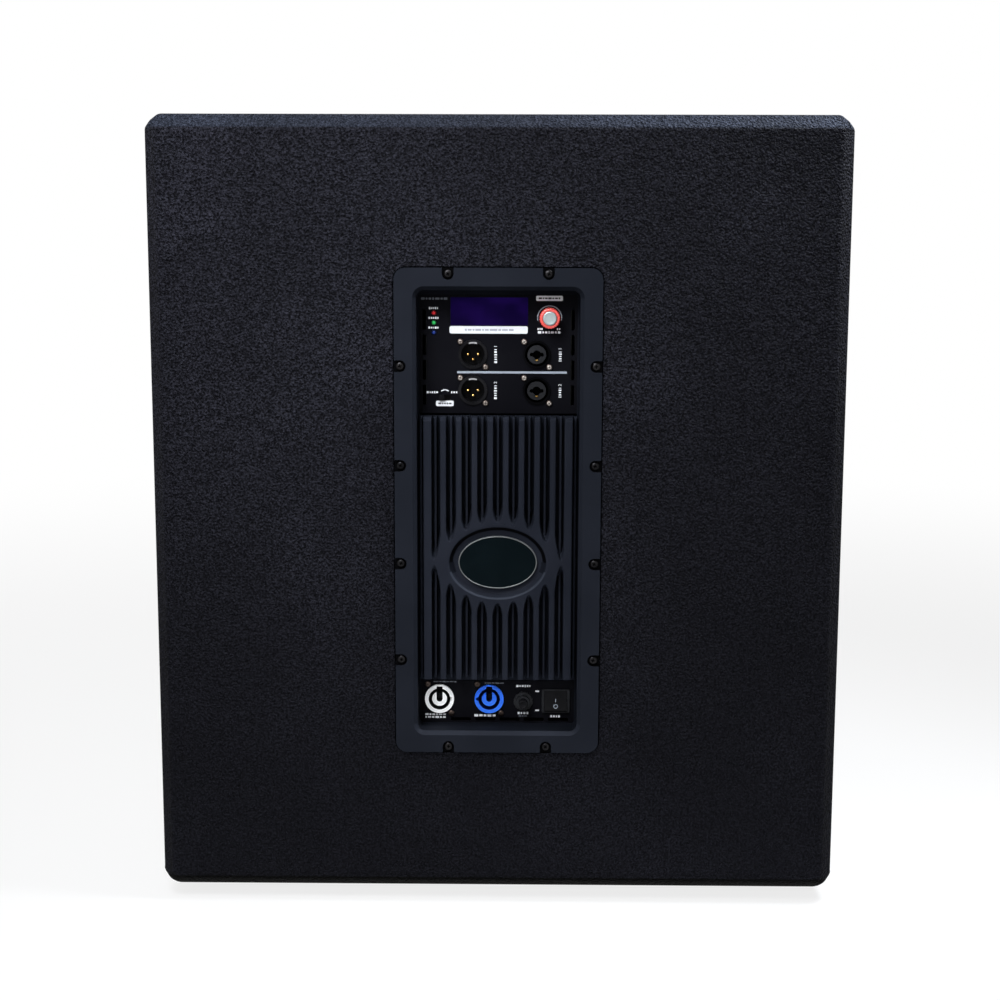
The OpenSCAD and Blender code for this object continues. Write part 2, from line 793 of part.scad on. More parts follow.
module heatsink() {
    color(cast) on_rear() difference() {
        union() {
            translate([0, (control_bottom + mains_top) / 2, 0]) block(
                well_outer_w - 5, control_bottom - mains_top - 2 * seam, sink_base, face - sink_base
            );
            for (i = [0 : rib_count - 1])
                rib((i - (rib_count - 1) / 2) * rib_pitch, rib_w, rib_h, 2.5);
            for (i = [0 : rib_count - 2])
                rib((i - (rib_count - 2) / 2) * rib_pitch, fin_w, fin_h, 0.8);
            // The two edge ribs fill up to the well.
            for (s = [-1, 1])
                rib(s * (sink_w / 2 - fin_w / 2 - 0.3), fin_w, fin_h, 0.8);
            // The boss that the grooves run out on.
            oval_cone(boss_a + boss_foot, boss_b + boss_foot / 2, boss_a, boss_b, rib_h, face);
        }
        oval_cone(dish_a - 4, dish_b - 4, dish_a, dish_b, dish_depth + eps, face + rib_h - dish_depth);
    }
}

module badge() {
    color("#0a1416") on_rear() difference() {
        translate([0, badge_y, face + rib_h - dish_depth]) linear_extrude(height = badge_t)
            polygon(ellipse_points(badge_a, badge_b));
        translate([0, badge_y, face + rib_h - dish_depth + badge_t - 0.4]) linear_extrude(height = 1)
            polygon(ellipse_points(badge_a - 1.6, badge_b - 1.6));
    }
}

// ---- panels ----

panel_w = well_outer_w - 1;
control_mid = (control_bottom + floor_top) / 2;
mains_mid = (mains_top + floor_bottom) / 2;
panel_over = 2.5;                              // how far a panel reaches behind the frame
output_x = -20;
input_x = 30;
socket_y = control_mid;
display_x = -7.3;
display_y = control_mid + 33.3;
led_x = -50.5;
led_y = control_mid + 32.2;
led_pitch = 7.6;
knob_x = 39.8;
knob_y = control_mid + 28.5;
ground_x = -42;
ground_y = control_mid - 34;
vent_x = 58;
vent_y = control_mid + 26.9;
vent_pitch = 19.6;
vent_l = 16;
outlet_x = -46.7;
inlet_x = -6.7;
mains_y = mains_mid + 2.2;
breaker_x = 20.7;
breaker_y = mains_mid + 0.6;
rocker_x = 46.9;
rocker_y = mains_mid + 0.8;
mains_hole_x = 9.5;
mains_hole_y = 12;
screw_r = 1.5;
screw_head_r = 2.45;

module socket_places() {
    for (x = [output_x, input_x], row = [0, 1])
        translate([x, socket_y - row * socket_pitch, 0]) children();
}

module output_places() {
    for (row = [0, 1]) translate([output_x, socket_y - row * socket_pitch, 0]) children();
}

module input_places() {
    for (row = [0, 1]) translate([input_x, socket_y - row * socket_pitch, 0]) children();
}

// The two screws of a socket, upper left and lower right.
module screw_pair(dx, dy) {
    for (s = [-1, 1]) translate([s * dx, -s * dy, 0]) children();
}

module control_plate() {
    color(black_plastic) on_rear() difference() {
        translate([0, (control_bottom + seam + floor_top + panel_over) / 2, 0])
            block(panel_w, floor_top + panel_over - control_bottom - seam, sheet_t, face - sheet_t);
        translate([display_x, display_y, 0]) block(display_w, display_h, sheet_t + 2, face - sheet_t - 1);
        for (k = [0 : 2]) translate([led_x, led_y - k * led_pitch, face - sheet_t - 1])
            cylinder(r = led_r + snug, h = sheet_t + 2);
        translate([knob_x, knob_y, face - sheet_t - 1]) cylinder(r = bush_r + snug, h = sheet_t + 2);
        output_places() translate([0, 0, face - sheet_t - 1]) cylinder(r = xlr_r + snug, h = sheet_t + 2);
        input_places() translate([0, 0, face - sheet_t - 1]) cylinder(r = combo_r + snug, h = sheet_t + 2);
        socket_places() screw_pair(socket_hole, socket_hole)
            translate([0, 0, face - sheet_t - 1]) cylinder(r = screw_r + snug, h = sheet_t + 2, $fn = 32);
        translate([ground_x, ground_y, 0])
            block(ground_slot_w, ground_slot_h, sheet_t + 2, face - sheet_t - 1);
        for (s = [-1, 1], k = [0 : 3])
            translate([s * vent_x, vent_y - k * vent_pitch, 0]) slab(3, vent_l, 1.4, sheet_t + 2, face - sheet_t - 1, $fn = 24);
    }
}

module mains_plate() {
    color(black_plastic) on_rear() difference() {
        translate([0, (mains_top - seam + floor_bottom - panel_over) / 2, 0])
            block(panel_w, mains_top - seam - floor_bottom + panel_over, sheet_t, face - sheet_t);
        for (x = [outlet_x, inlet_x]) translate([x, mains_y, face - sheet_t - 1]) {
            cylinder(r = mains_r + snug, h = sheet_t + 2);
            screw_pair(mains_hole_x, mains_hole_y) cylinder(r = screw_r + snug, h = sheet_t + 2, $fn = 32);
        }
        translate([breaker_x, breaker_y, face - sheet_t - 1]) cylinder(r = neck_r + snug, h = sheet_t + 2);
        translate([rocker_x, rocker_y, 0])
            block(bezel_body_w + 2 * snug, bezel_body_h + 2 * snug, sheet_t + 2, face - sheet_t - 1);
        for (k = [-2 : 2])
            translate([9.8 + k * vent_pitch, floor_bottom + 2.6, 0]) slab(vent_l, 3, 1, sheet_t + 2, face - sheet_t - 1, $fn = 24);
    }
}

module display_window() {
    color("#1a0a4a") on_rear() translate([display_x, display_y, 0]) {
        block(display_w - 2 * snug, display_h - 2 * snug, sheet_t, face - sheet_t);
        block(display_w + 4, display_h + 3, 1.2, face - sheet_t - 1.2);
    }
}

module lcd_module() {
    color("#1d4d2c") on_rear() translate([display_x, display_y, 0]) {
        block(display_w + 1, display_h, 4, face - sheet_t - 5.2);
        block(display_w + 8, display_h + 5, 1.6, face - sheet_t - 6.8);
    }
}

module led(k, tint) {
    color(tint) on_rear() translate([led_x, led_y - k * led_pitch, face - 0.2]) {
        intersection() {
            sphere(r = led_r);
            cylinder(r = led_r + 1, h = led_r + 1);
        }
        translate([0, 0, -sheet_t - 2]) cylinder(r = led_r, h = sheet_t + 2 + eps);
        translate([0, 0, 0.2 - sheet_t - 0.8]) cylinder(r = led_r + 0.5, h = 0.8);
    }
}

// ---- encoder: body, rotor that turns, shaft and knob that also press in ----

bush_r = shaft_r + 0.8;
bush_l = 5;
encoder_w = 13;
encoder_d = 7;
rotor_r = 5;
rotor_t = 2.6;
rotor_z = face - sheet_t - 4.4;
shaft_flat = shaft_r / 2;
knob_gap = 1.5;
knob_top = face + knob_gap + knob_h;
shaft_end = knob_top - 2;
cap_r = 5.5;

module at_knob() {
    on_rear() translate([knob_x, knob_y, 0]) children();
}

// The round section with a flat, grown by g.
module d_section(g) {
    intersection() {
        circle(r = shaft_r + g);
        translate([-2 * shaft_r, -2 * shaft_r]) square([2 * shaft_r + shaft_flat + g, 4 * shaft_r]);
    }
}

module encoder_body() {
    color("#55585c") at_knob() difference() {
        union() {
            block(encoder_w, encoder_w, encoder_d, face - sheet_t - encoder_d);
            translate([0, 0, face - sheet_t - eps]) cylinder(r = bush_r, h = sheet_t + bush_l);
        }
        translate([0, 0, face - sheet_t - encoder_d - 1])
            cylinder(r = shaft_r + snug, h = encoder_d + sheet_t + bush_l + 2);
        translate([0, 0, rotor_z - running]) cylinder(r = rotor_r + running, h = rotor_t + 2 * running);
    }
}

module encoder_rotor() {
    color("#77797d") at_knob() translate([0, 0, rotor_z]) linear_extrude(height = rotor_t) difference() {
        circle(r = rotor_r);
        d_section(snug);
    }
}

module encoder_shaft() {
    color(steel) at_knob() translate([0, 0, rotor_z - 1]) linear_extrude(height = shaft_end - rotor_z + 1)
        d_section(0);
}

module encoder_knob() {
    color("#b8322a") at_knob() difference() {
        translate([0, 0, face + knob_gap]) cylinder(r = knob_r, h = knob_h - 1);
        translate([0, 0, face + knob_gap - 1]) cylinder(r = bush_r + 0.4, h = bush_l - knob_gap + knob_push + 1.3);
        translate([0, 0, face]) linear_extrude(height = shaft_end - face + snug) d_section(snug / 2);
        for (i = [0 : 23]) rotate([0, 0, i * 15])
            translate([knob_r + 0.25, 0, face + knob_gap - 1]) cylinder(r = 0.6, h = knob_h + 2, $fn = 16);
    }
}

module knob_cap() {
    color("#c4c8c4") at_knob() translate([0, 0, knob_top - 1])
        cylinder(r1 = cap_r, r2 = cap_r - 0.8, h = 1);
}

// ---- audio sockets ----

socket_depth = 20;
socket_proud = 1.4;
socket_flange = 26;
socket_flange_t = 2;
xlr_well_depth = 15;
pin_r = 1.2;
pin_circle_r = 4;
jack_r = 3.3;
jack_depth = 18;
insert_r = 7.3;
insert_depth = 14;
groove_r = 9.2;

module socket_blank(r) {
    translate([0, 0, face - sheet_t - socket_depth]) cylinder(r = r, h = sheet_t + socket_depth + socket_proud);
    difference() {
        slab(socket_flange, socket_flange, 2, socket_flange_t, face - sheet_t - socket_flange_t);
        screw_pair(socket_hole, socket_hole)
            translate([0, 0, face - sheet_t - 10]) cylinder(r = screw_r + snug, h = 20, $fn = 32);
    }
}

module pin_places() {
    for (a = [0, 180, 270]) rotate([0, 0, a]) translate([pin_circle_r, 0, 0]) children();
}

module audio_outputs() {
    color("#3a3d42") on_rear() output_places() {
        difference() {
            socket_blank(xlr_r);
            translate([0, 0, face + socket_proud - xlr_well_depth]) cylinder(r = xlr_well_r, h = xlr_well_depth + 1);
            pin_places() translate([0, 0, face - sheet_t - socket_depth - 1])
                cylinder(r = pin_r + snug, h = socket_depth, $fn = 32);
        }
        // The key at the top of the well.
        translate([-1.3, xlr_well_r - 1.8, face + socket_proud - xlr_well_depth])
            cube([2.6, 2.2, xlr_well_depth - 1]);
    }
}

module output_pins() {
    color(gold) on_rear() output_places() pin_places() {
        translate([0, 0, face - sheet_t - socket_depth - 3]) cylinder(r = pin_r, h = socket_depth + sheet_t + 1, $fn = 32);
        translate([0, 0, face - 2]) sphere(r = pin_r, $fn = 32);
    }
}

// A cup with the insert for both kinds of plug standing in it.
module audio_inputs() {
    insert_z = face + socket_proud - insert_depth;
    color(black_plastic) on_rear() input_places() difference() {
        union() {
            difference() {
                socket_blank(combo_r);
                translate([0, 0, insert_z]) cylinder(r = groove_r, h = insert_depth + 1);
            }
            translate([0, 0, insert_z + snug]) difference() {
                cylinder(r = insert_r, h = insert_depth - snug);
                pin_places() translate([0, 0, 1]) cylinder(r = 1.5, h = insert_depth, $fn = 32);
            }
        }
        translate([0, 0, face + socket_proud - jack_depth]) cylinder(r = jack_r, h = jack_depth + 1);
    }
}

module panel_screw() {
    translate([0, 0, face]) difference() {
        cylinder(r = screw_head_r, h = 1.5, $fn = 32);
        translate([0, 0, 0.7]) cylinder(r = 1, h = 2, $fn = 6);
    }
    translate([0, 0, face - sheet_t - 4]) cylinder(r = screw_r, h = sheet_t + 4 + eps, $fn = 32);
}

module socket_screws() {
    color("#7a5c3c") on_rear() {
        socket_places() screw_pair(socket_hole, socket_hole) panel_screw();
        for (x = [outlet_x, inlet_x])
            translate([x, mains_y, 0]) screw_pair(mains_hole_x, mains_hole_y) panel_screw();
    }
}

// ---- ground switch ----

ground_knob_w = 4;
ground_knob_h = 4.2;
ground_slot_w = ground_knob_w + ground_travel + 0.4;
ground_slot_h = 4.6;
ground_base_w = 6;
ground_base_h = 5.4;
ground_base_t = 2.4;

module ground_switch() {
    color(steel) on_rear() translate([ground_x, ground_y, 0]) difference() {
        block(ground_base_w + ground_travel + 4, 8, 6.5, face - sheet_t - 6.5);
        block(
            ground_base_w + ground_travel + 0.4, ground_base_h + 2 * running, ground_base_t + 3 * running,
            face - sheet_t - ground_base_t - 2 * running
        );
    }
}

module ground_slider() {
    color(black_plastic) on_rear() translate([ground_x - ground_travel / 2, ground_y, 0]) {
        block(ground_base_w, ground_base_h, ground_base_t, face - sheet_t - ground_base_t - running);
        difference() {
            block(ground_knob_w, ground_knob_h, sheet_t + 2.6, face - sheet_t - running - eps);
            for (s = [-1, 0, 1]) translate([s * 1.2, 0, 0]) block(0.5, 10, 2, face + 2);
        }
    }
}

// ---- mains side ----

mains_depth = 26;
mains_proud = 2;
mains_well = 16;
core_r = 6;
core_slot = 4.8;
core_slot_low = 2.4;                           // how far the slot runs below the middle
top_key = 4.8;                                 // widths of the two key slots in the well's wall
side_key = 2.6;
key_reach = 1.6;

module mains_socket(notch) {
    difference() {
        union() {
            translate([0, 0, face - sheet_t - mains_depth])
                cylinder(r = mains_r, h = sheet_t + mains_depth + mains_proud);
            difference() {
                slab(26, 31, 2, 2, face - sheet_t - 2);
                screw_pair(mains_hole_x, mains_hole_y)
                    translate([0, 0, face - sheet_t - 10]) cylinder(r = screw_r + snug, h = 20, $fn = 32);
            }
        }
        difference() {
            translate([0, 0, face + mains_proud - mains_well]) cylinder(r = mains_well_r, h = mains_well + 1);
            translate([0, 0, face - mains_well]) cylinder(r = core_r, h = mains_well + mains_proud - 1);
        }
        // The core is a U, open at its top.
        translate([0, 0, face + mains_proud - mains_well]) linear_extrude(height = mains_well + 1) {
            translate([0, core_slot / 2 - core_slot_low]) circle(r = core_slot / 2);
            translate([-core_slot / 2, core_slot / 2 - core_slot_low]) square([core_slot, core_r]);
        }
        for (key = [[90, top_key], [notch, side_key]]) rotate([0, 0, key[0]])
            translate([mains_well_r - 1, -key[1] / 2, face + mains_proud - mains_well])
                cube([key_reach + 1, key[1], mains_well + 1]);
    }
}

module mains_outlet() {
    color("#e8eaea") on_rear() translate([outlet_x, mains_y, 0]) mains_socket(0);
}

module mains_inlet() {
    color("#2c6ff5") on_rear() translate([inlet_x, mains_y, 0]) mains_socket(180);
}

module mains_contacts() {
    color(steel) on_rear() for (x = [outlet_x, inlet_x])
        for (k = [-1 : 1])
            translate([x, mains_y + 0.6 + k * 1.8, 0])
                block(core_slot - 2.4, 0.7, 10, face + mains_proud - mains_well);
}

neck_r = 5.2;
neck_proud = 6.5;
button_r = 3.5;
button_proud = 10.5;                           // with the button pressed in
breaker_d = 24;

module at_breaker() {
    on_rear() translate([breaker_x, breaker_y, 0]) children();
}

module breaker() {
    color("#26282c") at_breaker() {
        difference() {
            union() {
                block(14, 16, breaker_d, face - sheet_t - breaker_d);
                translate([0, 0, face - sheet_t - eps]) cylinder(r = neck_r, h = sheet_t + neck_proud);
            }
            translate([0, 0, face - sheet_t - 8]) cylinder(r = button_r + running, h = 20);
        }
        // The nut that holds it in the panel.
        difference() {
            translate([0, 0, face]) cylinder(r = 7.7, h = 2.2);
            translate([0, 0, face - 1]) cylinder(r = neck_r + snug, h = 6);
            for (i = [0 : 11]) rotate([0, 0, i * 30])
                translate([8.2, 0, face - 1]) cylinder(r = 0.9, h = 5, $fn = 16);
        }
    }
}

module reset_button() {
    color("#1d1e21") at_breaker() difference() {
        translate([0, 0, face - sheet_t - 8 + reset_travel + 0.5]) cylinder(r = button_r, h = sheet_t + 8 + button_proud - 0.5);
        translate([0, 0, face + reset_travel + button_proud + 4]) sphere(r = 4.8);
    }
}

bezel_w = 22.4;
bezel_h = 19.2;
bezel_t = 1.6;
rocker_gap = 0.5;
rocker_open_w = rocker_w + 2 * 0.25;
rocker_open_h = rocker_h + 2 * rocker_gap + 0.2;
bezel_body_w = rocker_open_w + 2;
bezel_body_h = rocker_open_h + 1.2;
pivot_r = 1;
pivot_z = face - 0.6;
bezel_depth = 16;

module at_rocker() {
    on_rear() translate([rocker_x, rocker_y, 0]) children();
}

module rocker_bezel() {
    color(black_plastic) at_rocker() difference() {
        union() {
            slab(bezel_w, bezel_h, 1, bezel_t, face);
            block(bezel_body_w, bezel_body_h, bezel_depth + eps, face - bezel_depth);
        }
        block(rocker_open_w, rocker_open_h, bezel_depth, face - bezel_depth + 6);
        translate([0, 0, pivot_z]) rotate([0, 90, 0])
            cylinder(r = pivot_r + snug, h = rocker_w + 1.6, center = true, $fn = 32);
    }
}

// The rocker lies with its upper side, the side marked I, pressed in.
module rocker() {
    color(black_plastic) at_rocker() translate([0, 0, pivot_z]) rotate([-rocker_swing / 2, 0, 0]) {
        rotate([90, 0, 90]) linear_extrude(height = rocker_w, center = true)
            polygon([
                [-rocker_h / 2, -1], [-rocker_h / 4, -3.4], [rocker_h / 4, -3.4], [rocker_h / 2, -1],
                [rocker_h / 2, 2.6], [1.5, 1.5], [-rocker_h / 2, 2.6]
            ]);
        rotate([0, 90, 0]) cylinder(r = pivot_r, h = rocker_w + 1.2, center = true, $fn = 32);
    }
}

// ---- behind the panels ----

cover_t = 1.5;
cover_w = well_outer_w - 1;
cover_top = floor_top + panel_over;
cover_bottom = floor_bottom - panel_over;
cover_front = face - sheet_t;

module amp_cover() {
    color(steel) on_rear() translate([0, (cover_top + cover_bottom) / 2, 0]) difference() {
        block(cover_w, cover_top - cover_bottom, cover_depth, cover_front - cover_depth);
        block(
            cover_w - 2 * cover_t, cover_top - cover_bottom - 2 * cover_t, cover_depth,
            cover_front - cover_depth + cover_t
        );
    }
}

board_t = 1.6;
board_w = 116;
standoff_h = 10;
power_z = face - sink_base - standoff_h;

module power_board() {
    color("#1d4d2c") on_rear() translate([0, sink_mid, 0]) {
        block(board_w, sink_h - 20, board_t, power_z - board_t);
        for (sx = [-1, 1], sy = [-1, 1])
            translate([sx * (board_w / 2 - 6), sy * (sink_h / 2 - 16), power_z]) cylinder(r = 3, h = standoff_h, $fn = 24);
        translate([0, -50, 0]) block(54, 44, 34, power_z - board_t - 34);
        for (x = [-40, -14, 12, 38])
            translate([x, 30, power_z - board_t - 34]) cylinder(r = 11, h = 34, $fn = 32);
        translate([0, 66, 0]) block(80, 8, 24, power_z - board_t - 24);
    }
}

module signal_board() {
    color("#1d4d2c") on_rear() difference() {
        translate([0, control_mid - 4, 0])
            block(board_w, control_h - 14, board_t, face - sheet_t - socket_depth - board_t);
        output_places() pin_places() translate([0, 0, face - sheet_t - socket_depth - board_t - 1])
            cylinder(r = pin_r + snug, h = board_t + 2, $fn = 32);
    }
}

top_panel();
bottom_panel();
side_panel(-1);  // left_panel
side_panel(1);  // right_panel
rear_panel();
front_baffle();
port_shelf();
cross_brace();
handle(-1);  // left_handle
handle(1);  // right_handle
pole_socket();
rubber_feet();
cabinet_screws();
grille();
grille_foam();
basket();
basket_gasket();
surround();
cone();
dust_cap();
voice_coil();
spider();
top_plate();
magnet();
back_plate();
driver_terminals();
driver_bolts();
amp_frame();
amp_gasket();
frame_screws();
heatsink();
badge();
control_plate();
mains_plate();
display_window();
lcd_module();
led(0, "red");  // led_red
led(1, "green");  // led_green
led(2, "blue");  // led_blue
encoder_body();
encoder_rotor();
encoder_shaft();
encoder_knob();
knob_cap();
audio_outputs();
output_pins();
audio_inputs();
socket_screws();
ground_switch();
ground_slider();
mains_outlet();
mains_inlet();
mains_contacts();
breaker();
reset_button();
rocker_bezel();
rocker();
amp_cover();
power_board();
signal_board();
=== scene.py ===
import json
import math
from contextlib import contextmanager
from itertools import product

import bmesh
import bpy
from mathutils import Matrix, Vector
from mathutils.bvhtree import BVHTree

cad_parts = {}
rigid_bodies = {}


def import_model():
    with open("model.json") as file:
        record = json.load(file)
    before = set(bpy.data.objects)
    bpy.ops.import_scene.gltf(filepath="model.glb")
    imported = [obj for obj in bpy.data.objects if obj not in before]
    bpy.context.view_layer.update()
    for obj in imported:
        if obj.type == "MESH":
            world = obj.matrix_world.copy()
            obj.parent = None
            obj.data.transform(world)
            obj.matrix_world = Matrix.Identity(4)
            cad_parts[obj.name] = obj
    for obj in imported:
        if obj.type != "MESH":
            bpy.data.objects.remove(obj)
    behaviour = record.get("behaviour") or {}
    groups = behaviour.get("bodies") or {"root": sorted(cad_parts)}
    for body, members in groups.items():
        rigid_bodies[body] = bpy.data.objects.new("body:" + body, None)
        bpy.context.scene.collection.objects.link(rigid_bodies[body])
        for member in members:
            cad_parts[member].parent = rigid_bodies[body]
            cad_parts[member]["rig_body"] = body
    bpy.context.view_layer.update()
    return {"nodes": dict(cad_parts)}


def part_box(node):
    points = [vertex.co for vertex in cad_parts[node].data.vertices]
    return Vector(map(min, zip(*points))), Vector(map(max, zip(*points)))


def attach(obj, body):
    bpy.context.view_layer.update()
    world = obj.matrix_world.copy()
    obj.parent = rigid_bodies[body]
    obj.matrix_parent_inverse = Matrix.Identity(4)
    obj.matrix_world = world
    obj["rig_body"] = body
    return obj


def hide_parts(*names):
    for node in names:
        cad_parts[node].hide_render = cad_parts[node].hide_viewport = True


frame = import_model()
nodes = frame["nodes"]
print("frame loaded with", len(nodes), "nodes")

# Camera and image points

photo = {"width": 1000, "height": 1000}
cameraSetup = {
    "spot": (0.0150, -1.5682, 0.5124),
    "aim": (0.0018, -0.2990, 0.3278),
    "roll": math.radians(0.18),
    "lens": 59.4,
    "sensor": 36.0,
    "shiftX": 0.0,
    "shiftY": 0.0,
}
imagePoints = {
    "cabinetLeft": (144.6, None),
    "cabinetRight": (854.9, None),
    "cabinetTop": (None, 113.4),
    "cabinetBottom": (None, 886.5),
    "frameTopLeft": (393.3, 267.5),
    "frameTopRight": (603.5, 268.2),
    "frameBottomLeft": (396.3, 751.7),
    "frameBottomRight": (597.7, 752.9),
    "badge": (497.7, 562.1),
    "display": (489.3, 311.5),
    "knob": (549.7, 318.2),
    "upperOutput": (472.9, 354.4),
    "whiteConnector": (439.5, 698.9),
    "blueConnector": (489.1, 699.2),
    "rocker": (555.6, 700.9),
    "labelStrip": (488.6, 329.9),
    "silverLine": (512.0, 372.4),
    "outputMark": (495.6, 354.0),
    "inputMark": (560.3, 354.4),
    "groundLabel": (444.9, 403.4),
}

longSide = max(photo["width"], photo["height"])
cameraSpot = Vector(cameraSetup["spot"])
lookAlong = (Vector(cameraSetup["aim"]) - cameraSpot).normalized()
cameraTurn = lookAlong.to_track_quat("-Z", "Y").to_matrix() @ Matrix.Rotation(cameraSetup["roll"], 3, "Z")

cameraData = bpy.data.cameras.new("photoCamera")
cameraData.lens = cameraSetup["lens"]
cameraData.sensor_width = cameraSetup["sensor"]
cameraData.sensor_fit = "AUTO"
cameraData.shift_x = cameraSetup["shiftX"]
cameraData.shift_y = cameraSetup["shiftY"]
cameraData.clip_start = 0.01
camera = bpy.data.objects.new("photoCamera", cameraData)
camera.matrix_world = Matrix.Translation(cameraSpot) @ cameraTurn.to_4x4()
bpy.context.scene.collection.objects.link(camera)
bpy.context.scene.camera = camera


def rayThrough(x, y):
    # the ray that leaves the camera through a pixel of the photograph
    inCamera = Vector((
        x - photo["width"] / 2 + cameraSetup["shiftX"] * longSide,
        photo["height"] / 2 - y + cameraSetup["shiftY"] * longSide,
        -longSide * cameraSetup["lens"] / cameraSetup["sensor"],
    ))
    return (cameraTurn @ inCamera).normalized()


def toPixel(point):
    # where a point of the part shows in the photograph
    seen = cameraTurn.transposed() @ (Vector(point) - cameraSpot)
    scale = longSide * cameraSetup["lens"] / cameraSetup["sensor"] / -seen.z
    return (
        photo["width"] / 2 - cameraSetup["shiftX"] * longSide + seen.x * scale,
        photo["height"] / 2 + cameraSetup["shiftY"] * longSide - seen.y * scale,
    )


def treeOf(*objects):
    verts, faces = [], []
    for obj in objects:
        start = len(verts)
        verts += [v.co.copy() for v in obj.data.vertices]
        faces += [[start + i for i in p.vertices] for p in obj.data.polygons]
    return BVHTree.FromPolygons(verts, faces)


def placeOn(tree, pointName):
    # the place on the carrying surface that shows at a named image point
    along = rayThrough(*imagePoints[pointName])
    hit = tree.ray_cast(cameraSpot, along)[0]
    if hit:
        return hit
    tries = [tree.find_nearest(cameraSpot + along * (1.2 + 0.004 * i)) for i in range(120)]
    return min(tries, key=lambda found: (found[0] - cameraSpot).cross(along).length)[0]


# Node trees as expressions

class Wire:
    # one socket of a node tree, which takes part in Python expressions

    def __init__(self, tree, socket=None):
        self.tree = tree
        self.socket = socket

    def node(self, kind, settings=None, inputs=None, output=0):
        made = self.tree.nodes.new(kind)
        for name, value in (settings or {}).items():
            if name == "stops":
                ramp = made.color_ramp.elements
                ramp[0].position, ramp[0].color = value[0][0], rgba(value[0][1])
                ramp[1].position, ramp[1].color = value[-1][0], rgba(value[-1][1])
                for place, colour in value[1:-1]:
                    ramp.new(place).color = rgba(colour)
            else:
                setattr(made, name, value)
        for name, value in (inputs or {}).items():
            if isinstance(value, Wire):
                self.tree.links.new(value.socket, made.inputs[name])
            else:
                made.inputs[name].default_value = value
        return Wire(self.tree, made.outputs[output])

    def maths(self, operation, *values):
        return self.node("ShaderNodeMath", {"operation": operation}, dict(enumerate(values)))

    def absolute(self):
        return self.maths("ABSOLUTE", self)

    def least(self, other):
        return self.maths("MINIMUM", self, other)

    def fraction(self):
        return self.maths("FRACT", self)

    def axis(self, i):
        return self.node("ShaderNodeSeparateXYZ", {}, {0: self}, i)

    def __add__(self, other):
        return self.maths("ADD", self, other)

    def __sub__(self, other):
        return self.maths("SUBTRACT", self, other)

    def __rsub__(self, other):
        return self.maths("SUBTRACT", other, self)

    def __mul__(self, other):
        return self.maths("MULTIPLY", self, other)

    def __truediv__(self, other):
        return self.maths("DIVIDE", self, other)

    def __rtruediv__(self, other):
        return self.maths("DIVIDE", other, self)

    def __pow__(self, other):
        return self.maths("POWER", self, other)

    __radd__ = __add__
    __rmul__ = __mul__

    def ramp(self, low, high, start=0.0, end=1.0, smooth=True):
        # runs from start to end while this value goes from low to high
        return self.node(
            "ShaderNodeMapRange", {"interpolation_type": "SMOOTHSTEP" if smooth else "LINEAR"},
            {0: self, 1: low, 2: high, 3: start, 4: end},
        )

    def blend(self, first, second):
        # a colour between two, by this value
        return self.node(
            "ShaderNodeMix", {"data_type": "RGBA"},
            {0: self, 6: colourOf(first), 7: colourOf(second)}, output=2,
        )

    # the next four start from a place

    def stretched(self, scale):
        return self.node("ShaderNodeMapping", {"vector_type": "POINT"}, {0: self, 3: scale})

    def noise(self, scale, detail=2.0, rough=0.5):
        return self.node("ShaderNodeTexNoise", {}, {
            "Vector": self, "Scale": scale, "Detail": detail, "Roughness": rough})

    def lumps(self, scale, smooth):
        return self.node("ShaderNodeTexVoronoi", {"feature": "SMOOTH_F1"}, {
            "Vector": self, "Scale": scale, "Smoothness": smooth})

    def cells(self, scale, feature):
        return self.node("ShaderNodeTexVoronoi", {"feature": feature}, {"Vector": self, "Scale": scale})


def rgba(colour):
    return (*colour, 1.0) if len(colour) == 3 else tuple(colour)


def colourOf(value):
    return value if isinstance(value, Wire) else rgba(value)


# Finishes

def newMaterial(name, roughness=0.5, specular=0.5, coat=0.0, **fixed):
    # the material, its shader and the place on the object that its patterns start from
    made = bpy.data.materials.new(name)
    made.use_nodes = True
    shader = made.node_tree.nodes["Principled BSDF"]
    constants = {
        "Roughness": roughness, "Specular IOR Level": specular,
        "Coat Weight": coat, "Coat Roughness": 0.1, **fixed}
    for socket, value in constants.items():
        shader.inputs[socket].default_value = value
    return made, shader, Wire(made.node_tree).node("ShaderNodeTexCoord", output=3)


def feed(shader, wire, socket):
    wire.tree.links.new(wire.socket, shader.inputs[socket])


def feedSurface(shader, colour, height, relief, roughness=None):
    # what changes over a surface: its colour, its bumps and, if given, its roughness
    feed(shader, colour, "Base Color")
    bump = height.node("ShaderNodeBump", {}, {"Height": height, "Distance": relief, "Strength": 1.0})
    feed(shader, bump, "Normal")
    if roughness:
        feed(shader, roughness, "Roughness")


cabinetNodes = ["top_panel", "bottom_panel", "left_panel", "right_panel", "rear_panel"]


def boxOver(names):
    corners = [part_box(n) for n in names]
    return (Vector([min(low[i] for low, high in corners) for i in range(3)]),
            Vector([max(high[i] for low, high in corners) for i in range(3)]))


mm = 0.001
coatLook = {
    "name": "texturedCoat",
    "colour": (0.0034, 0.0034, 0.0045),
    "crest": (0.027, 0.0275, 0.0375),     # the grains' tops, rubbed pale
    "pale": (-0.10, 0, 0.50),             # centre of a painted pool of light: the grains' tops are palest here and fade to painted shade away from it
    "bevelColour": (0.010, 0.012, 0.018),
    "bevelCrest": (0.040, 0.047, 0.068),
    "paintedShadeLowBevels": (0.0012, 0.0012, 0.0012),    # painted shade on the lower bevels, near the floor
    "roughness": 0.55,
    "specular": 0.02,
    "grain": 620,            # lumps per metre
    "relief": 0.0045,
    "bevel": 10.5 * mm,
}


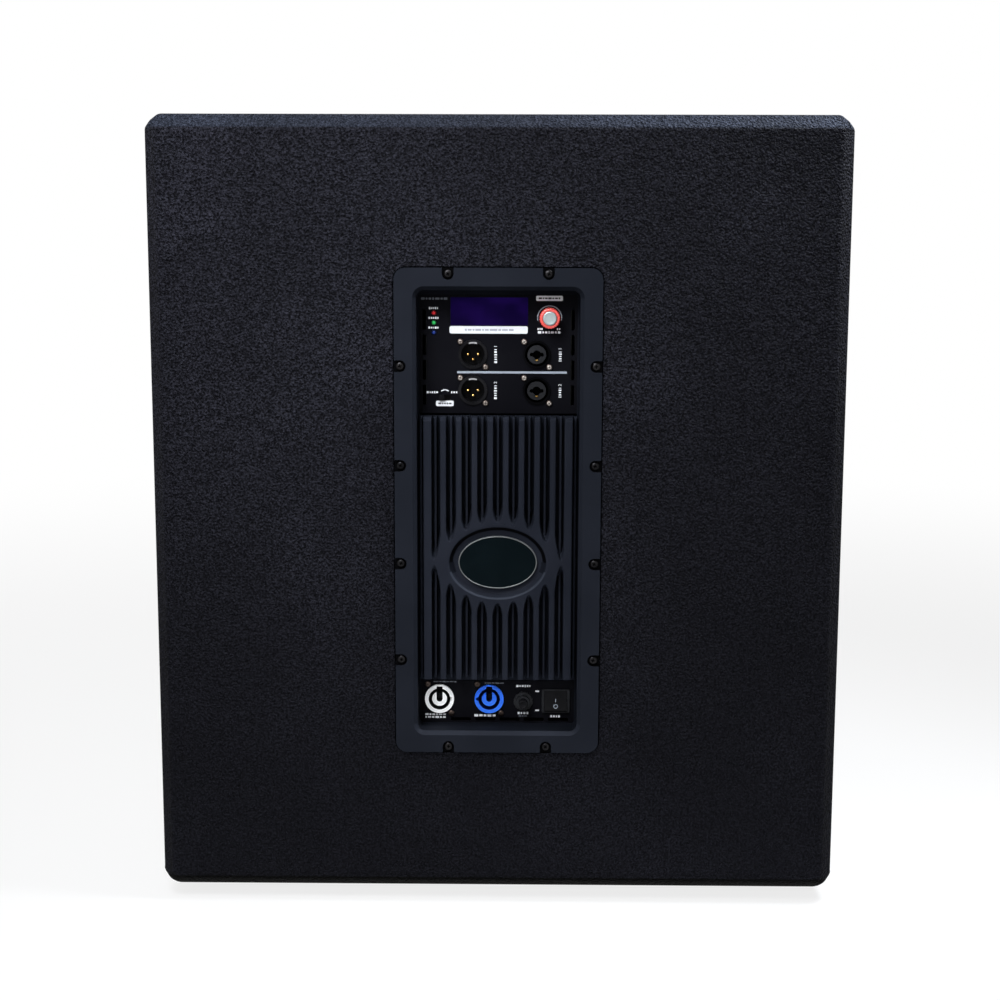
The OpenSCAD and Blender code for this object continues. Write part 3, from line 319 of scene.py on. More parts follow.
def texturedCoat(look):
    made, shader, place = newMaterial(look["name"], specular=look["specular"])
    wander = place.noise(look["grain"] * 0.45)
    grains = place.noise(look["grain"], 1.5)
    height = wander * 0.35 + grains * 0.6 + (1 - place.lumps(look["grain"] * 0.8, 0.7)) * 0.35
    wear = place.noise(9, 4.0, 0.6).ramp(0.35, 0.8)
    low, high = boxOver(cabinetNodes)
    middle, half = (low + high) / 2, (high - low) / 2
    near = []
    for i, side in ((0, 0), (1, 0), (2, 1), (2, -1)):
        # one where a place lies close to both sides, to front and rear, to the top or to the bottom
        off = place.axis(i) - middle[i]
        near.append((off * side if side else off.absolute()).ramp(
            half[i] - look["bevel"] * 1.1, half[i] - look["bevel"] * 0.92))
    bevel = (near[0] + near[1]).least(1.0) * near[2]          # the upper bevels are the pale ones: partly wear, partly a painted highlight
    crest = grains.ramp(0.32, 0.74) * (0.55 + wear * 0.45)
    flat = place.node("ShaderNodeVectorMath", {"operation": "MULTIPLY"}, {0: place, 1: (1, 0, 1)})
    # painted light and shade: the grains' tops are paler near the point look["pale"] and darker away from it
    away = place.node("ShaderNodeVectorMath", {"operation": "DISTANCE"}, {0: flat, 1: look["pale"]}, 1)
    paintedPoolCoat = (crest * away.ramp(0.12, 0.42, 1.0, 0.45)).blend(look["colour"], look["crest"])
    # upper bevels: paler from rubbed wear and from a painted highlight
    wornAndPaintedSheen = (bevel * (0.6 + wear * 0.4)).blend(paintedPoolCoat, crest.blend(look["bevelColour"], look["bevelCrest"]))
    # the lower bevels get painted shade
    feedSurface(shader, near[3].blend(wornAndPaintedSheen, look["paintedShadeLowBevels"]), height, look["relief"],
                look["roughness"] + wander * 0.16 - 0.08)
    return made


def paintedMetal(name, colour, light, roughness=0.42, grain=1700, relief=0.00004, specular=0.45):
    # satin coat with fine powder grain and a faint cloudiness
    made, shader, place = newMaterial(name, specular=specular)
    powder, clouds = place.noise(grain, 3.0, 0.6), place.noise(22, 3.0)
    feedSurface(shader, clouds.ramp(0.35, 0.75).blend(colour, light), powder, relief,
                roughness + (powder - 0.5) * 0.18 + (clouds - 0.5) * 0.08)
    return made


def mouldedPlastic(
        name, colour, light, roughness=0.45, grain=900, relief=0.00006, specular=0.45, coat=0.0, **fixed):
    # spark-eroded grain, a little paler and rougher where hands rub it
    made, shader, place = newMaterial(name, specular=specular, coat=coat, **fixed)
    rubbed = place.noise(34, 3.0, 0.6)
    feedSurface(shader, rubbed.ramp(0.4, 0.75).blend(colour, light),
                place.lumps(grain, 0.5) + place.noise(grain * 1.7) * 0.6, relief,
                roughness + (rubbed - 0.5) * 0.14)
    return made


def brushedSteel(name, colour, light, roughness=0.32, lines=(260, 260, 2600)):
    made, shader, place = newMaterial(name, Metallic=1.0)
    streaks = place.stretched(lines).noise(1.0, 3.0, 0.6)
    stains = place.noise(60, 4.0, 0.6)
    feedSurface(shader, stains.ramp(0.35, 0.7).blend(colour, light), streaks, 0.00002,
                roughness + (streaks - 0.5) * 0.22 + (stains - 0.5) * 0.12)
    return made


def bareWood(name, dark, pale):
    made, shader, place = newMaterial(name, roughness=0.65, specular=0.3)
    rings = place.stretched((6, 60, 420)).noise(1.0, 4.0, 0.6)
    fibre = place.stretched((60, 900, 900)).noise(1.0)
    feedSurface(shader, (rings * 0.8 + fibre * 0.3).ramp(0.35, 0.8).blend(dark, pale), rings + fibre, 0.0001)
    return made


def openFoam(name, dark, pale):
    made, shader, place = newMaterial(name, roughness=0.95, specular=0.1)
    cells = place.cells(520, "F1")
    feedSurface(shader, cells.ramp(0.15, 0.6).blend(pale, dark), cells, 0.001)
    return made


def fibreSheet(name, dark, pale, weave=1400):
    # pressed paper or impregnated cloth
    made, shader, place = newMaterial(name, roughness=0.8, specular=0.2)
    across, along = (place.stretched(scale).noise(1.0) for scale in ((weave, 90, weave), (90, weave, weave)))
    cloth = across * 0.5 + along * 0.5
    feedSurface(shader, cloth.ramp(0.35, 0.65).blend(dark, pale), cloth, 0.0002)
    return made


def circuitBoard(name):
    made, shader, place = newMaterial(name, roughness=0.4, specular=0.4)
    tracks = place.cells(190, "DISTANCE_TO_EDGE").ramp(0.04, 0.07)
    feedSurface(shader, tracks.blend((0.010, 0.026, 0.014), (0.003, 0.010, 0.006)), tracks, 0.00008)
    return made


def litLens(name, nodeName, colour, glow):
    # brightest at the dome's tip
    made, shader, place = newMaterial(name, roughness=0.3, specular=0.2, **{"Emission Strength": glow})
    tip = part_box(nodeName)[0].y
    core = place.axis(1).ramp(tip + 0.9 * mm, tip)
    feedSurface(shader, core.blend([0.25 * c for c in colour], colour), place.noise(900), 0.00003)
    feed(shader, core.blend([0.05 * c for c in colour], colour), "Emission Color")
    return made


def displayGlass(name):
    # a backlit panel behind a tinted window: brighter in soft patches
    made, shader, place = newMaterial(
        name, roughness=0.08, specular=0.01,
        **{"Emission Strength": 1.0, "Base Color": (0.002, 0.001, 0.008, 1)})
    patches = place.stretched((38, 1, 60)).noise(1.0, 2.0, 0.4).ramp(0.36, 0.66)
    feed(shader, patches.blend((0.0022, 0.0003, 0.0190), (0.0062, 0.0012, 0.0420)), "Emission Color")
    feed(shader, 0.05 + place.noise(240, 4.0, 0.6) * 0.10, "Roughness")
    return made


def inkPrint(name, colour, roughness=0.5):
    # screen print: slightly broken cover
    made, shader, place = newMaterial(name, roughness=roughness, specular=0.3)
    cover = place.noise(2600).ramp(0.2, 0.5)
    feedSurface(shader, cover.blend([0.8 * c for c in colour], colour), cover, 0.00002)
    return made


finishes = {
    "coat": texturedCoat(coatLook),
    "cast": paintedMetal(
        "castFrame", (0.0086, 0.0101, 0.0146), (0.0106, 0.0123, 0.0176), 0.46, specular=0.03),
    # lit and shaded copies of the cast paint: litCast and litLip are painted highlights, shadedCast is
    # painted shade
    "litCast": paintedMetal(
        "litCast", (0.0118, 0.0138, 0.0200), (0.0148, 0.0172, 0.0248), 0.45, specular=0.04),
    "litLip": paintedMetal(
        "litLip", (0.0230, 0.0270, 0.0370), (0.0280, 0.0330, 0.0450), 0.45, specular=0.04),
    "shadedCast": paintedMetal(
        "castPaintedShade", (0.0050, 0.0060, 0.0090), (0.0070, 0.0082, 0.0120), 0.5, specular=0.02),
    "sink": paintedMetal(
        "castHeatsink", (0.0108, 0.0126, 0.0184), (0.0142, 0.0162, 0.0232), 0.50, 1300, 0.00006, 0.015),
    "panel": paintedMetal(
        "satinPanel", (0.0034, 0.0034, 0.0050), (0.0050, 0.0051, 0.0068), 0.40, 2200, 0.00003, 0.015),
    "grille": paintedMetal(
        "grilleCoat", (0.008, 0.008, 0.009), (0.014, 0.014, 0.016), 0.55, 1500, 0.00006, 0.1),
    "basket": paintedMetal("basketPaint", (0.010, 0.011, 0.013), (0.017, 0.018, 0.021), 0.5),
    "blackScrew": brushedSteel("blackScrew", (0.008, 0.008, 0.009), (0.024, 0.023, 0.024), 0.30),
    # real black plastic on the inputs' shells, and painted shade in the frame's notches, the screws' recesses
    # and the badge seat's upper wall
    "deepBlackAndPaintedShade": mouldedPlastic(
        "deepBlackAndPaintedShade", (0.0014, 0.0014, 0.0018), (0.0026, 0.0026, 0.0032), specular=0.01),
    "glint": brushedSteel("screwGlint", (0.24, 0.21, 0.19), (0.58, 0.55, 0.52), 0.35, (300, 300, 300)),
    "blackPlastic": mouldedPlastic(
        "blackPlastic", (0.0040, 0.0040, 0.0050), (0.0070, 0.0070, 0.0082), specular=0.05),
    "glossBlack": mouldedPlastic(
        "glossBlack", (0.0035, 0.0036, 0.0044), (0.0060, 0.0060, 0.0072), 0.24, 500, 0.00002, 0.06),
    "rubber": mouldedPlastic(
        "blackRubber", (0.008, 0.008, 0.008), (0.016, 0.016, 0.016), 0.8, 1300, 0.0001, 0.15),
    "steel": brushedSteel("zincSteel", (0.20, 0.20, 0.20), (0.34, 0.34, 0.33)),
    "dullSteel": brushedSteel("dullSteel", (0.24, 0.24, 0.25), (0.40, 0.40, 0.42), 0.40),
    "paleMetal": brushedSteel(
        "satinAluminium", (0.27, 0.31, 0.32), (0.35, 0.40, 0.41), 0.45, (900, 900, 900)),
    "socketMetal": brushedSteel(
        "blackChrome", (0.0080, 0.0080, 0.0092), (0.0170, 0.0170, 0.0190), 0.30),
    "gold": brushedSteel("goldPins", (0.50, 0.30, 0.09), (0.72, 0.48, 0.18), 0.22),
    "bronzeScrew": brushedSteel("passivatedScrew", (0.040, 0.030, 0.026), (0.090, 0.070, 0.062), 0.35),
    "plywood": bareWood("barePlywood", (0.30, 0.18, 0.09), (0.52, 0.36, 0.20)),
    "foam": openFoam("openFoam", (0.002, 0.002, 0.002), (0.014, 0.014, 0.015)),
    "paper": fibreSheet("pressedPaper", (0.008, 0.008, 0.008), (0.022, 0.022, 0.022)),
    "cloth": fibreSheet("spiderCloth", (0.35, 0.20, 0.06), (0.62, 0.42, 0.16)),
    "ferrite": mouldedPlastic(
        "ferrite", (0.020, 0.020, 0.021), (0.045, 0.045, 0.046), 0.6, 700, 0.0001),
    "copper": brushedSteel("copperWire", (0.62, 0.24, 0.11), (0.80, 0.36, 0.18), 0.3, (300, 2600, 300)),
    "board": circuitBoard("circuitBoard"),
    "badgeFace": mouldedPlastic(
        "badgeFace", (0.0016, 0.0038, 0.0049), (0.0025, 0.0054, 0.0068), 0.20, 300, 0.00001, 0.02),
    "badgeRing": brushedSteel(
        "badgeRing", (0.145, 0.155, 0.158), (0.205, 0.215, 0.220), 0.55, (400, 400, 400)),
    "display": displayGlass("displayGlass"),
    "redLens": litLens("redLens", "led_red", (0.40, 0.012, 0.018), 0.5),
    "greenLens": litLens("greenLens", "led_green", (0.02, 0.30, 0.07), 0.6),
    "blueLens": litLens("blueLens", "led_blue", (0.008, 0.025, 0.15), 0.3),
    # the knob's plastic glows a little: painted light, it is no lamp
    "redKnob": mouldedPlastic(
        "redKnob", (0.58, 0.040, 0.030), (0.78, 0.09, 0.075), 0.20, 500, 0.00002, 1.0,
        **{"Emission Color": (0.8, 0.06, 0.04, 1), "Emission Strength": 0.10}),
    # the white plastic glows a little: painted light, it is no lamp
    "whitePlastic": mouldedPlastic(
        "whitePlastic", (0.93, 0.95, 0.96), (0.97, 0.98, 0.98), 0.3, 500, 0.00002, coat=0.2,
        **{"Emission Color": (1, 1, 1, 1), "Emission Strength": 0.08}),
    "bluePlastic": mouldedPlastic(
        "bluePlastic", (0.020, 0.145, 0.86), (0.040, 0.21, 0.98), 0.3, 500, 0.00002, 0.2),
    "redPlastic": mouldedPlastic("redPlastic", (0.22, 0.02, 0.02), (0.32, 0.03, 0.03)),
    # print on the label above the knob, paler than the other white print as painted light against the shade
    # under the well's top wall
    "labelInk": inkPrint("labelInk", (0.95, 0.97, 1.0)),
    "whiteInk": inkPrint("whiteInk", (0.75, 0.77, 0.81)),
    "greyInk": inkPrint("greyInk", (0.30, 0.34, 0.40), 0.4),
    "dimInk": inkPrint("dimInk", (0.09, 0.10, 0.12)),
    "darkInk": inkPrint("darkInk", (0.02, 0.02, 0.025)),
    "palePrint": inkPrint("palePrint", (0.36, 0.37, 0.42)),
    "greyPlastic": mouldedPlastic(
        "greyPlastic", (0.022, 0.023, 0.027), (0.034, 0.035, 0.040), 0.34, 600, 0.00003, 0.1),
    "insertGrey": mouldedPlastic(
        "insertGrey", (0.011, 0.0115, 0.0135), (0.018, 0.019, 0.022), 0.34, 600, 0.00003, 0.08),
    # shaded copies of the white and blue plastics: painted shade in the connectors' channels
    "whiteDeep": mouldedPlastic(
        "shadedWhite", (0.010, 0.010, 0.012), (0.016, 0.016, 0.018), 0.4, 500, 0.00002, 0.05),
    "blueDeep": mouldedPlastic(
        "shadedBlue", (0.0020, 0.0050, 0.070), (0.0035, 0.0080, 0.10), 0.35, 500, 0.00002, 0.05),
}
nodeFinishes = {
    "coat": cabinetNodes + ["front_baffle", "port_shelf"],
    "plywood": ["cross_brace"],
    "blackPlastic": [
        "left_handle", "right_handle", "pole_socket", "audio_inputs", "ground_slider", "ground_switch",
        "rocker_bezel"],
    "glossBlack": ["rocker"],
    "rubber": ["rubber_feet", "surround", "basket_gasket", "amp_gasket"],
    "steel": ["cabinet_screws", "top_plate", "back_plate", "encoder_body", "encoder_rotor"],
    "socketMetal": ["audio_outputs", "breaker", "mains_contacts"],
    "grille": ["grille"],
    "foam": ["grille_foam"],
    "basket": ["basket"],
    "paper": ["cone", "dust_cap"],
    "copper": ["voice_coil"],
    "cloth": ["spider"],
    "ferrite": ["magnet"],
    "redPlastic": ["driver_terminals"],
    "blackScrew": ["driver_bolts", "frame_screws"],
    "cast": ["amp_frame"],
    "sink": ["heatsink"],
    "badgeFace": ["badge"],
    "panel": ["control_plate", "mains_plate", "amp_cover"],
    "display": ["display_window"],
    "board": ["lcd_module", "power_board", "signal_board"],
    "redLens": ["led_red"],
    "greenLens": ["led_green"],
    "blueLens": ["led_blue"],
    "paleMetal": ["encoder_shaft", "knob_cap"],
    "redKnob": ["encoder_knob"],
    "gold": ["output_pins"],
    "bronzeScrew": ["socket_screws"],
    "whitePlastic": ["mains_outlet"],
    "bluePlastic": ["mains_inlet"],
}
for finish, members in nodeFinishes.items():
    for member in members:
        mesh = nodes[member].data
        mesh.materials.clear()
        mesh.materials.append(finishes[finish])
print("finishes given to", sum(len(members) for members in nodeFinishes.values()), "nodes")

# Shared mesh helpers

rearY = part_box("rear_panel")[0].y                  # the cabinet's rear face
plateLow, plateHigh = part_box("amp_frame")
plateMid = Vector(((plateLow.x + plateHigh.x) / 2, rearY, (plateLow.z + plateHigh.z) / 2))


def onRear(x, y, out):
    # millimetres on the rear face, from the middle of the amplifier frame: right, up, out
    return Vector((plateMid.x + x * mm, rearY - out * mm, plateMid.z + y * mm))


def fromRear(point):
    # a point of the part in those millimetres
    return (point.x - plateMid.x) / mm, (point.z - plateMid.z) / mm, (rearY - point.y) / mm


panelOut = fromRear(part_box("control_plate")[0])[2]      # the panels' faces, a negative number
plateOut = fromRear(plateLow)[2]                        # the amplifier frame's outer face


def linked(name, data):
    made = bpy.data.objects.new(name, data)
    bpy.context.scene.collection.objects.link(made)
    return made


@contextmanager
def editing(mesh, source=None):
    # opens a mesh, or another one as its start, for work with bmesh, and writes it back
    work = bmesh.new()
    work.from_mesh(source or mesh)
    yield work
    work.to_mesh(mesh)
    work.free()


def addPiece(name, mesh, finish, body="cabinet", standsFor=()):
    piece = linked(name, mesh)
    mesh.materials.clear()
    mesh.materials.append(finishes[finish])
    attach(piece, body)
    if standsFor:
        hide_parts(*standsFor)
    return piece


def meshFrom(name, verts, faces):
    mesh = bpy.data.meshes.new(name)
    mesh.from_pydata([tuple(v) for v in verts], [], faces)
    mesh.update()
    return mesh


def smoothByAngle(mesh, degrees=32):
    with editing(mesh) as work:
        for face in work.faces:
            face.smooth = True
        for edge in work.edges:
            edge.smooth = len(edge.link_faces) == 2 and edge.calc_face_angle(0) < math.radians(degrees)


def keepNormals(piece):
    # flat faces stay flat beside their rounded edges
    weighted = piece.modifiers.new("evenFaces", "WEIGHTED_NORMAL")
    weighted.keep_sharp = True
    return piece


def roundEdges(work, edges, width, segments):
    bmesh.ops.bevel(
        work, geom=edges, offset=width, offset_type="OFFSET", segments=segments, profile=0.5,
        affect="EDGES", clamp_overlap=True)


def softened(nodeName, width, finish, name):
    # a copy of a CAD node with its sharp edges rounded, which stands for the node
    node = nodes[nodeName]
    mesh = bpy.data.meshes.new(name)
    with editing(mesh, node.data) as work:
        bmesh.ops.remove_doubles(work, verts=work.verts, dist=0.00001)
        bmesh.ops.dissolve_limit(work, angle_limit=math.radians(1), verts=work.verts, edges=work.edges)
        sharp = [e for e in work.edges if len(e.link_faces) == 2 and e.calc_face_angle(0) > math.radians(28)]
        roundEdges(work, sharp, width, 2)
    smoothByAngle(mesh)
    return keepNormals(addPiece(name, mesh, finish, node["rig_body"], [nodeName]))


def ringLoft(rings, closed=True):
    # faces between rings of points, each ring a list of the same length; the ends are filled
    count = len(rings[0])
    verts = [p for ring in rings for p in ring]
    faces = []
    for k in range(len(rings) - 1):
        for i in range(count):
            j = (i + 1) % count
            faces.append([k * count + i, k * count + j, (k + 1) * count + j, (k + 1) * count + i])
    if closed:
        faces.append(list(range(count))[::-1])
        faces.append([(len(rings) - 1) * count + i for i in range(count)])
    return verts, faces


def turnOut(mesh):
    with editing(mesh) as work:
        bmesh.ops.remove_doubles(work, verts=work.verts, dist=0.000002)
        bmesh.ops.recalc_face_normals(work, faces=work.faces)
    return mesh


def circle(radius, steps, centre=(0, 0), height=1.0):
    # points round a circle, or round an oval of another height
    angles = [2 * math.pi * i / steps for i in range(steps)]
    return [(centre[0] + radius * math.cos(a), centre[1] + radius * height * math.sin(a)) for a in angles]


def lathe(profile, centre, steps=64):
    # profile of (radius, out) in millimetres, turned about an axis out of the rear face
    return ringLoft([
        [onRear(x, y, out) for x, y in circle(radius, steps, centre)] for radius, out in profile])


def joined(parts):
    verts, faces = [], []
    for v, f in parts:
        start = len(verts)
        verts += v
        faces += [[start + i for i in face] for face in f]
    return verts, faces


def slabOf(outline, low, high):
    # a flat piece from a closed outline of (x, y) in millimetres, between two heights
    return ringLoft([[onRear(x, y, low) for x, y in outline], [onRear(x, y, high) for x, y in outline]])


def roundedBox(cx, cy, w, h, r, steps=5):
    points = []
    for k, (sx, sy) in enumerate([(1, 1), (-1, 1), (-1, -1), (1, -1)]):
        for i in range(steps + 1):
            angle = math.pi / 2 * (k + i / steps)
            points.append((
                cx + sx * (w / 2 - r) + r * math.cos(angle), cy + sy * (h / 2 - r) + r * math.sin(angle)))
    return points


def centreOf(nodeName):
    low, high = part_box(nodeName)
    return fromRear((low + high) / 2)[:2]


def cutter(outline, place, start, end):
    # a prism for a boolean cut; place turns (u, v, depth) into a point of the part
    rings = [[place(u, v, depth) for u, v in outline] for depth in (start, end)]
    return linked("cutter", turnOut(meshFrom("cutter", *ringLoft(rings))))


def evaluated(obj):
    bpy.context.view_layer.update()
    return bpy.data.meshes.new_from_object(obj.evaluated_get(bpy.context.evaluated_depsgraph_get()))


def removeAll(objects):
    for made in objects:
        bpy.data.objects.remove(made)


def cutAway(name, mesh, tools):
    # the mesh less its cutters, which are used up
    maker = linked(name, mesh)
    for tool in tools:
        cut = maker.modifiers.new("cut", "BOOLEAN")
        cut.operation, cut.solver, cut.object = "DIFFERENCE", "EXACT", tool
    result = evaluated(maker)
    removeAll([maker, *tools])
    return result


def solid(name, parts, angle):
    # one smooth mesh from (verts, faces) pairs
    mesh = turnOut(meshFrom(name, *joined(parts)))
    smoothByAngle(mesh, angle)
    return mesh


def addSolid(name, parts, finish, body="cabinet", standsFor=(), angle=35):
    return addPiece(name, solid(name, parts, angle), finish, body, standsFor)


# Cabinet: one coated box with softly rounded bevels, which stands for the five panels

cabinetForm = {
    "wall": 18 * mm,
    "bevel": 10.5 * mm,
    "round": 2.2 * mm,        # rounding of the bevels' edges
    "lowerRound": 5.0 * mm,   # the lower edges are more worn and rounder
    "past": 4 * mm,           # how far the holes' cutters run past the wall
    "rebateDepth": 4 * mm,
    "rebateGap": 1 * mm,
    "rebateCorner": 10,
    "holeW": 138, "holeH": 359,
    "handleRebate": 4 * mm,
    "handleHoleW": 172 * mm, "handleHoleH": 122 * mm, "handleCorner": 18 * mm,
    "poleHole": 21.95 * mm, "poleFlange": 55.2 * mm, "poleFlangeT": 4 * mm,
}


def makeCabinet(form):
    low, high = boxOver(cabinetNodes)
    middle, half, c = (low + high) / 2, (high - low) / 2, form["bevel"]
    mesh = bpy.data.meshes.new("cabinetCoat")
    with editing(mesh) as work:
        for signs in product((-1, 1), repeat=3):
            for cut in ((c, c, 0), (c, 0, c), (0, c, c), (c / 2, c / 2, c / 2)):
                work.verts.new(middle + Vector([side * (h - d) for side, h, d in zip(signs, half, cut)]))
        bmesh.ops.convex_hull(work, input=work.verts)
        bmesh.ops.dissolve_limit(work, angle_limit=math.radians(1), verts=work.verts, edges=work.edges)
        lowest = low.z + 2.5 * c
        for lower, width in ((True, form["lowerRound"]), (False, form["round"])):
            roundEdges(work, [
                e for e in work.edges
                if e.calc_face_angle(0) > math.radians(25) and all(v.co.z < lowest for v in e.verts) == lower
            ], width, 4)
        bmesh.ops.recalc_face_normals(work, faces=work.faces)

    wall, gap, past = form["wall"], form["rebateGap"], form["past"]
    inner = [(low.x + wall, low.z + wall), (high.x - wall, low.z + wall),
             (high.x - wall, high.z - wall), (low.x + wall, high.z - wall)]
    frameW, frameH = (plateHigh.x - plateLow.x + 2 * gap) / mm, (plateHigh.z - plateLow.z + 2 * gap) / mm
    cutters = [
        cutter(inner, lambda u, v, d: Vector((u, d, v)), low.y + wall, high.y + 0.02),
        cutter(roundedBox(0, 0, frameW, frameH, form["rebateCorner"], 8),
               onRear, 8, -form["rebateDepth"] / mm),
        cutter(roundedBox(0, 0, form["holeW"], form["holeH"], 9, 8), onRear, 8, -(wall + past) / mm),
    ]
    for side, name in ((-1, "left_handle"), (1, "right_handle")):
        a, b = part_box(name)
        centre = (a + b) / 2
        edge = high.x if side > 0 else low.x
        place = lambda u, v, d: Vector((edge - side * d, centre.y + u, centre.z + v))
        for w, h, depth in (
                (b.y - a.y + 0.0004, b.z - a.z + 0.0004, form["handleRebate"]),
                (form["handleHoleW"], form["handleHoleH"], wall + past)):
            cutters.append(cutter(roundedBox(0, 0, w, h, form["handleCorner"], 8), place, -0.01, depth))
    for radius, depth in ((form["poleFlange"], form["poleFlangeT"]), (form["poleHole"], wall + past)):
        cutters.append(cutter(circle(radius, 72), lambda u, v, d: Vector((u, v, high.z - d)), -0.01, depth))
    result = cutAway("cabinetMaker", mesh, cutters)
    result.name = "cabinetCoat"
    smoothByAngle(result, 26)
    return keepNormals(addPiece("cabinetCoat", result, "coat", standsFor=cabinetNodes))


cabinetCoat = makeCabinet(cabinetForm)
print("cabinet made,", len(cabinetCoat.data.polygons), "faces")

# Castings, mouldings and connectors: the CAD shapes with their edges rounded

edgeRounding = {
    # node: (width in millimetres, finish, name)
    "rubber_feet": (1.0, "rubber", "rubberFeet"),
    "amp_frame": (0.7, "cast", "amplifierFrame"),
    "pole_socket": (0.8, "blackPlastic", "poleSocket"),
    "audio_outputs": (0.3, "socketMetal", "outputShells"),
    "audio_inputs": (0.35, "deepBlackAndPaintedShade", "inputShells"),
    "mains_outlet": (0.35, "whitePlastic", "mainsOutlet"),
    "mains_inlet": (0.35, "bluePlastic", "mainsInlet"),
    "breaker": (0.3, "insertGrey", "breakerNut"),
    "rocker_bezel": (0.35, "insertGrey", "rockerFrame"),
    "rocker": (0.3, "glossBlack", "rockerKey"),
    "reset_button": (0.25, "blackPlastic", "resetKey"),
    "ground_slider": (0.2, "blackPlastic", "groundKey"),
}
soft = {
    name: softened(name, width * mm, finish, label)
    for name, (width, finish, label) in edgeRounding.items()}
print("edges rounded on", len(soft), "nodes")

# Handles: a flanged cup with filleted mouth and floor, and a grooved bar across it

handleForm = {
    "depth": 58.0, "flange": 4.0, "barR": 11.0, "barDepth": 14.0, "groove": 0.5, "pitch": 4.0,
    "screwR": 5.1, "screwDepth": 3.0, "screwInset": 9.0,
    "cupSides": 34, "plainEnd": 14,     # how much shorter the bar is than the handle, and its plain ends
}


def makeHandle(nodeName, side, form):
    low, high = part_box(nodeName)
    centre = (low + high) / 2
    edge = high.x if side > 0 else low.x
    w, h = (high.y - low.y) / mm, (high.z - low.z) / mm
    deep, flange, inset = form["depth"], form["flange"], form["screwInset"]

    def place(u, v, d):
        return Vector((edge - side * d * mm, centre.y + u * mm, centre.z + v * mm))

    # the cup as (inset, corner, depth): its floor, wall, rolled mouth, flange and outside
    shell = ringLoft([[place(u, v, d) for u, v in roundedBox(0, 0, w - i, h - i, r, 7)] for i, r, d in (
        (52, 10, deep - 3), (45, 12, deep - 3.6), (41, 14, deep - 6), (38, 15, deep - 12), (36, 15.2, 5),
        (35, 15.6, 2.4), (33, 16.4, 1.0), (29.5, 17.6, 0.2), (26, 18.6, 0), (3, 16.8, 0), (0.9, 17.6, 0.4),
        (0, 18, 1.4), (0, 18, flange), (30, 18, flange), (30, 18, deep))])
    tools = [
        cutter(circle(form["screwR"], 40, (su * (w / 2 - inset), sv * (h / 2 - inset))),
               place, -2, form["screwDepth"])
        for su, sv in product((-1, 1), repeat=2)]
    mesh = cutAway(nodeName, turnOut(meshFrom(nodeName, *shell)), tools)
    reach, rings = (w - form["cupSides"]) / 2, []
    count = int(2 * reach / form["pitch"]) * 4
    for k in range(count + 1):
        u = -reach + 2 * reach * k / count
        grip = 1 if abs(u) < reach - form["plainEnd"] else 0
        r = form["barR"] - form["groove"] * grip * (0.5 + 0.5 * math.cos(math.pi * k / 2)) ** 2
        rings.append([place(u, v, d) for v, d in circle(r, 36, (0, form["barDepth"]))])
    bar = turnOut(meshFrom("bar", *ringLoft(rings)))
    with editing(mesh) as both:
        both.from_mesh(bar)
    smoothByAngle(mesh, 30)
    name = "leftHandle" if side < 0 else "rightHandle"
    mesh.name = name
    return keepNormals(addPiece(name, mesh, "blackPlastic", standsFor=[nodeName]))


makeHandle("left_handle", -1, handleForm)
makeHandle("right_handle", 1, handleForm)

# Geometry Nodes: a tree with named inputs, run once into a plain mesh

socketKinds = {int: "NodeSocketInt", float: "NodeSocketFloat", bpy.types.Object: "NodeSocketObject"}


def newTree(name, sizes):
    tree = bpy.data.node_groups.new(name, "GeometryNodeTree")
    tree.interface.new_socket("Geometry", in_out="INPUT", socket_type="NodeSocketGeometry")
    tree.interface.new_socket("Geometry", in_out="OUTPUT", socket_type="NodeSocketGeometry")
    for label, value in sizes.items():
        tree.interface.new_socket(label, in_out="INPUT", socket_type=socketKinds[type(value)])
    inside = tree.nodes.new("NodeGroupInput")
    return {s.name: Wire(tree, s) for s in inside.outputs if s.name}


def runTree(name, last, sizes, finish, start=None):
    # closes the tree with its realised, finished result and turns that into a mesh
    tree = last.tree
    real = last.node("GeometryNodeRealizeInstances", {}, {0: last})
    painted = real.node("GeometryNodeSetMaterial", {}, {"Geometry": real, "Material": finishes[finish]})
    outside = tree.nodes.new("NodeGroupOutput")
    tree.links.new(painted.socket, outside.inputs[0])
    maker = linked(name + "Maker", start or bpy.data.meshes.new(name + "Start"))
    modifier = maker.modifiers.new("build", "NODES")
    modifier.node_group = tree
    for item in tree.interface.items_tree:
        if item.item_type == "SOCKET" and item.in_out == "INPUT" and item.name in sizes:
            modifier[item.identifier] = sizes[item.name]
    mesh = evaluated(maker)
    bpy.data.objects.remove(maker)
    mesh.name = name
    return mesh


# Heatsink: a casting whose height over the groove floor follows one rule

sinkForm = {
    "Pitch": 12.25, "Rib half": 2.19, "Outer rib extra": 0.875, "Rib height": 17.0,
    "Fin half": 0.88, "Fin height": 11.0, "Wall": 0.44, "Edge fin": 60.375,
    "Boss A": 50.0, "Boss B": 32.0, "Foot A": 60.0, "Foot B": 41.0, "Boss power": 1.2,
    "Seat A": 41.0, "Seat B": 31.0,
    "Boss Y": 0.0, "Top": 0.0, "Top bevel": 2.6, "Rib end": 4.0, "Fillet": 0.7, "Scoop": 0.85,
    "Columns": 285, "Rows": 0, "Width": 124.25, "Length": 0.0,
}
sinkTrim = {
    "ribRound": 0.55, "finRound": 0.5, "finBevel": 1.2,
    "outerRib": 4.05, "outerFin": 4.5,          # in pitches from the middle: the first special rib and fin
    "archHalf": 3.7, "archFrom": -0.9, "archTo": -0.3,
    "seatRim": (0.955, 0.975), "seatDepth": 6.4, "skirt": 8.0,
    "rowStep": 0.75, "topGap": 1.3, "footGap": 0.1,
}
badgeX, badgeY = centreOf("badge")
sinkTop = fromRear(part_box("heatsink")[1])[1] - sinkTrim["topGap"]
sinkBottom = fromRear(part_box("heatsink")[0])[1] + sinkTrim["footGap"]


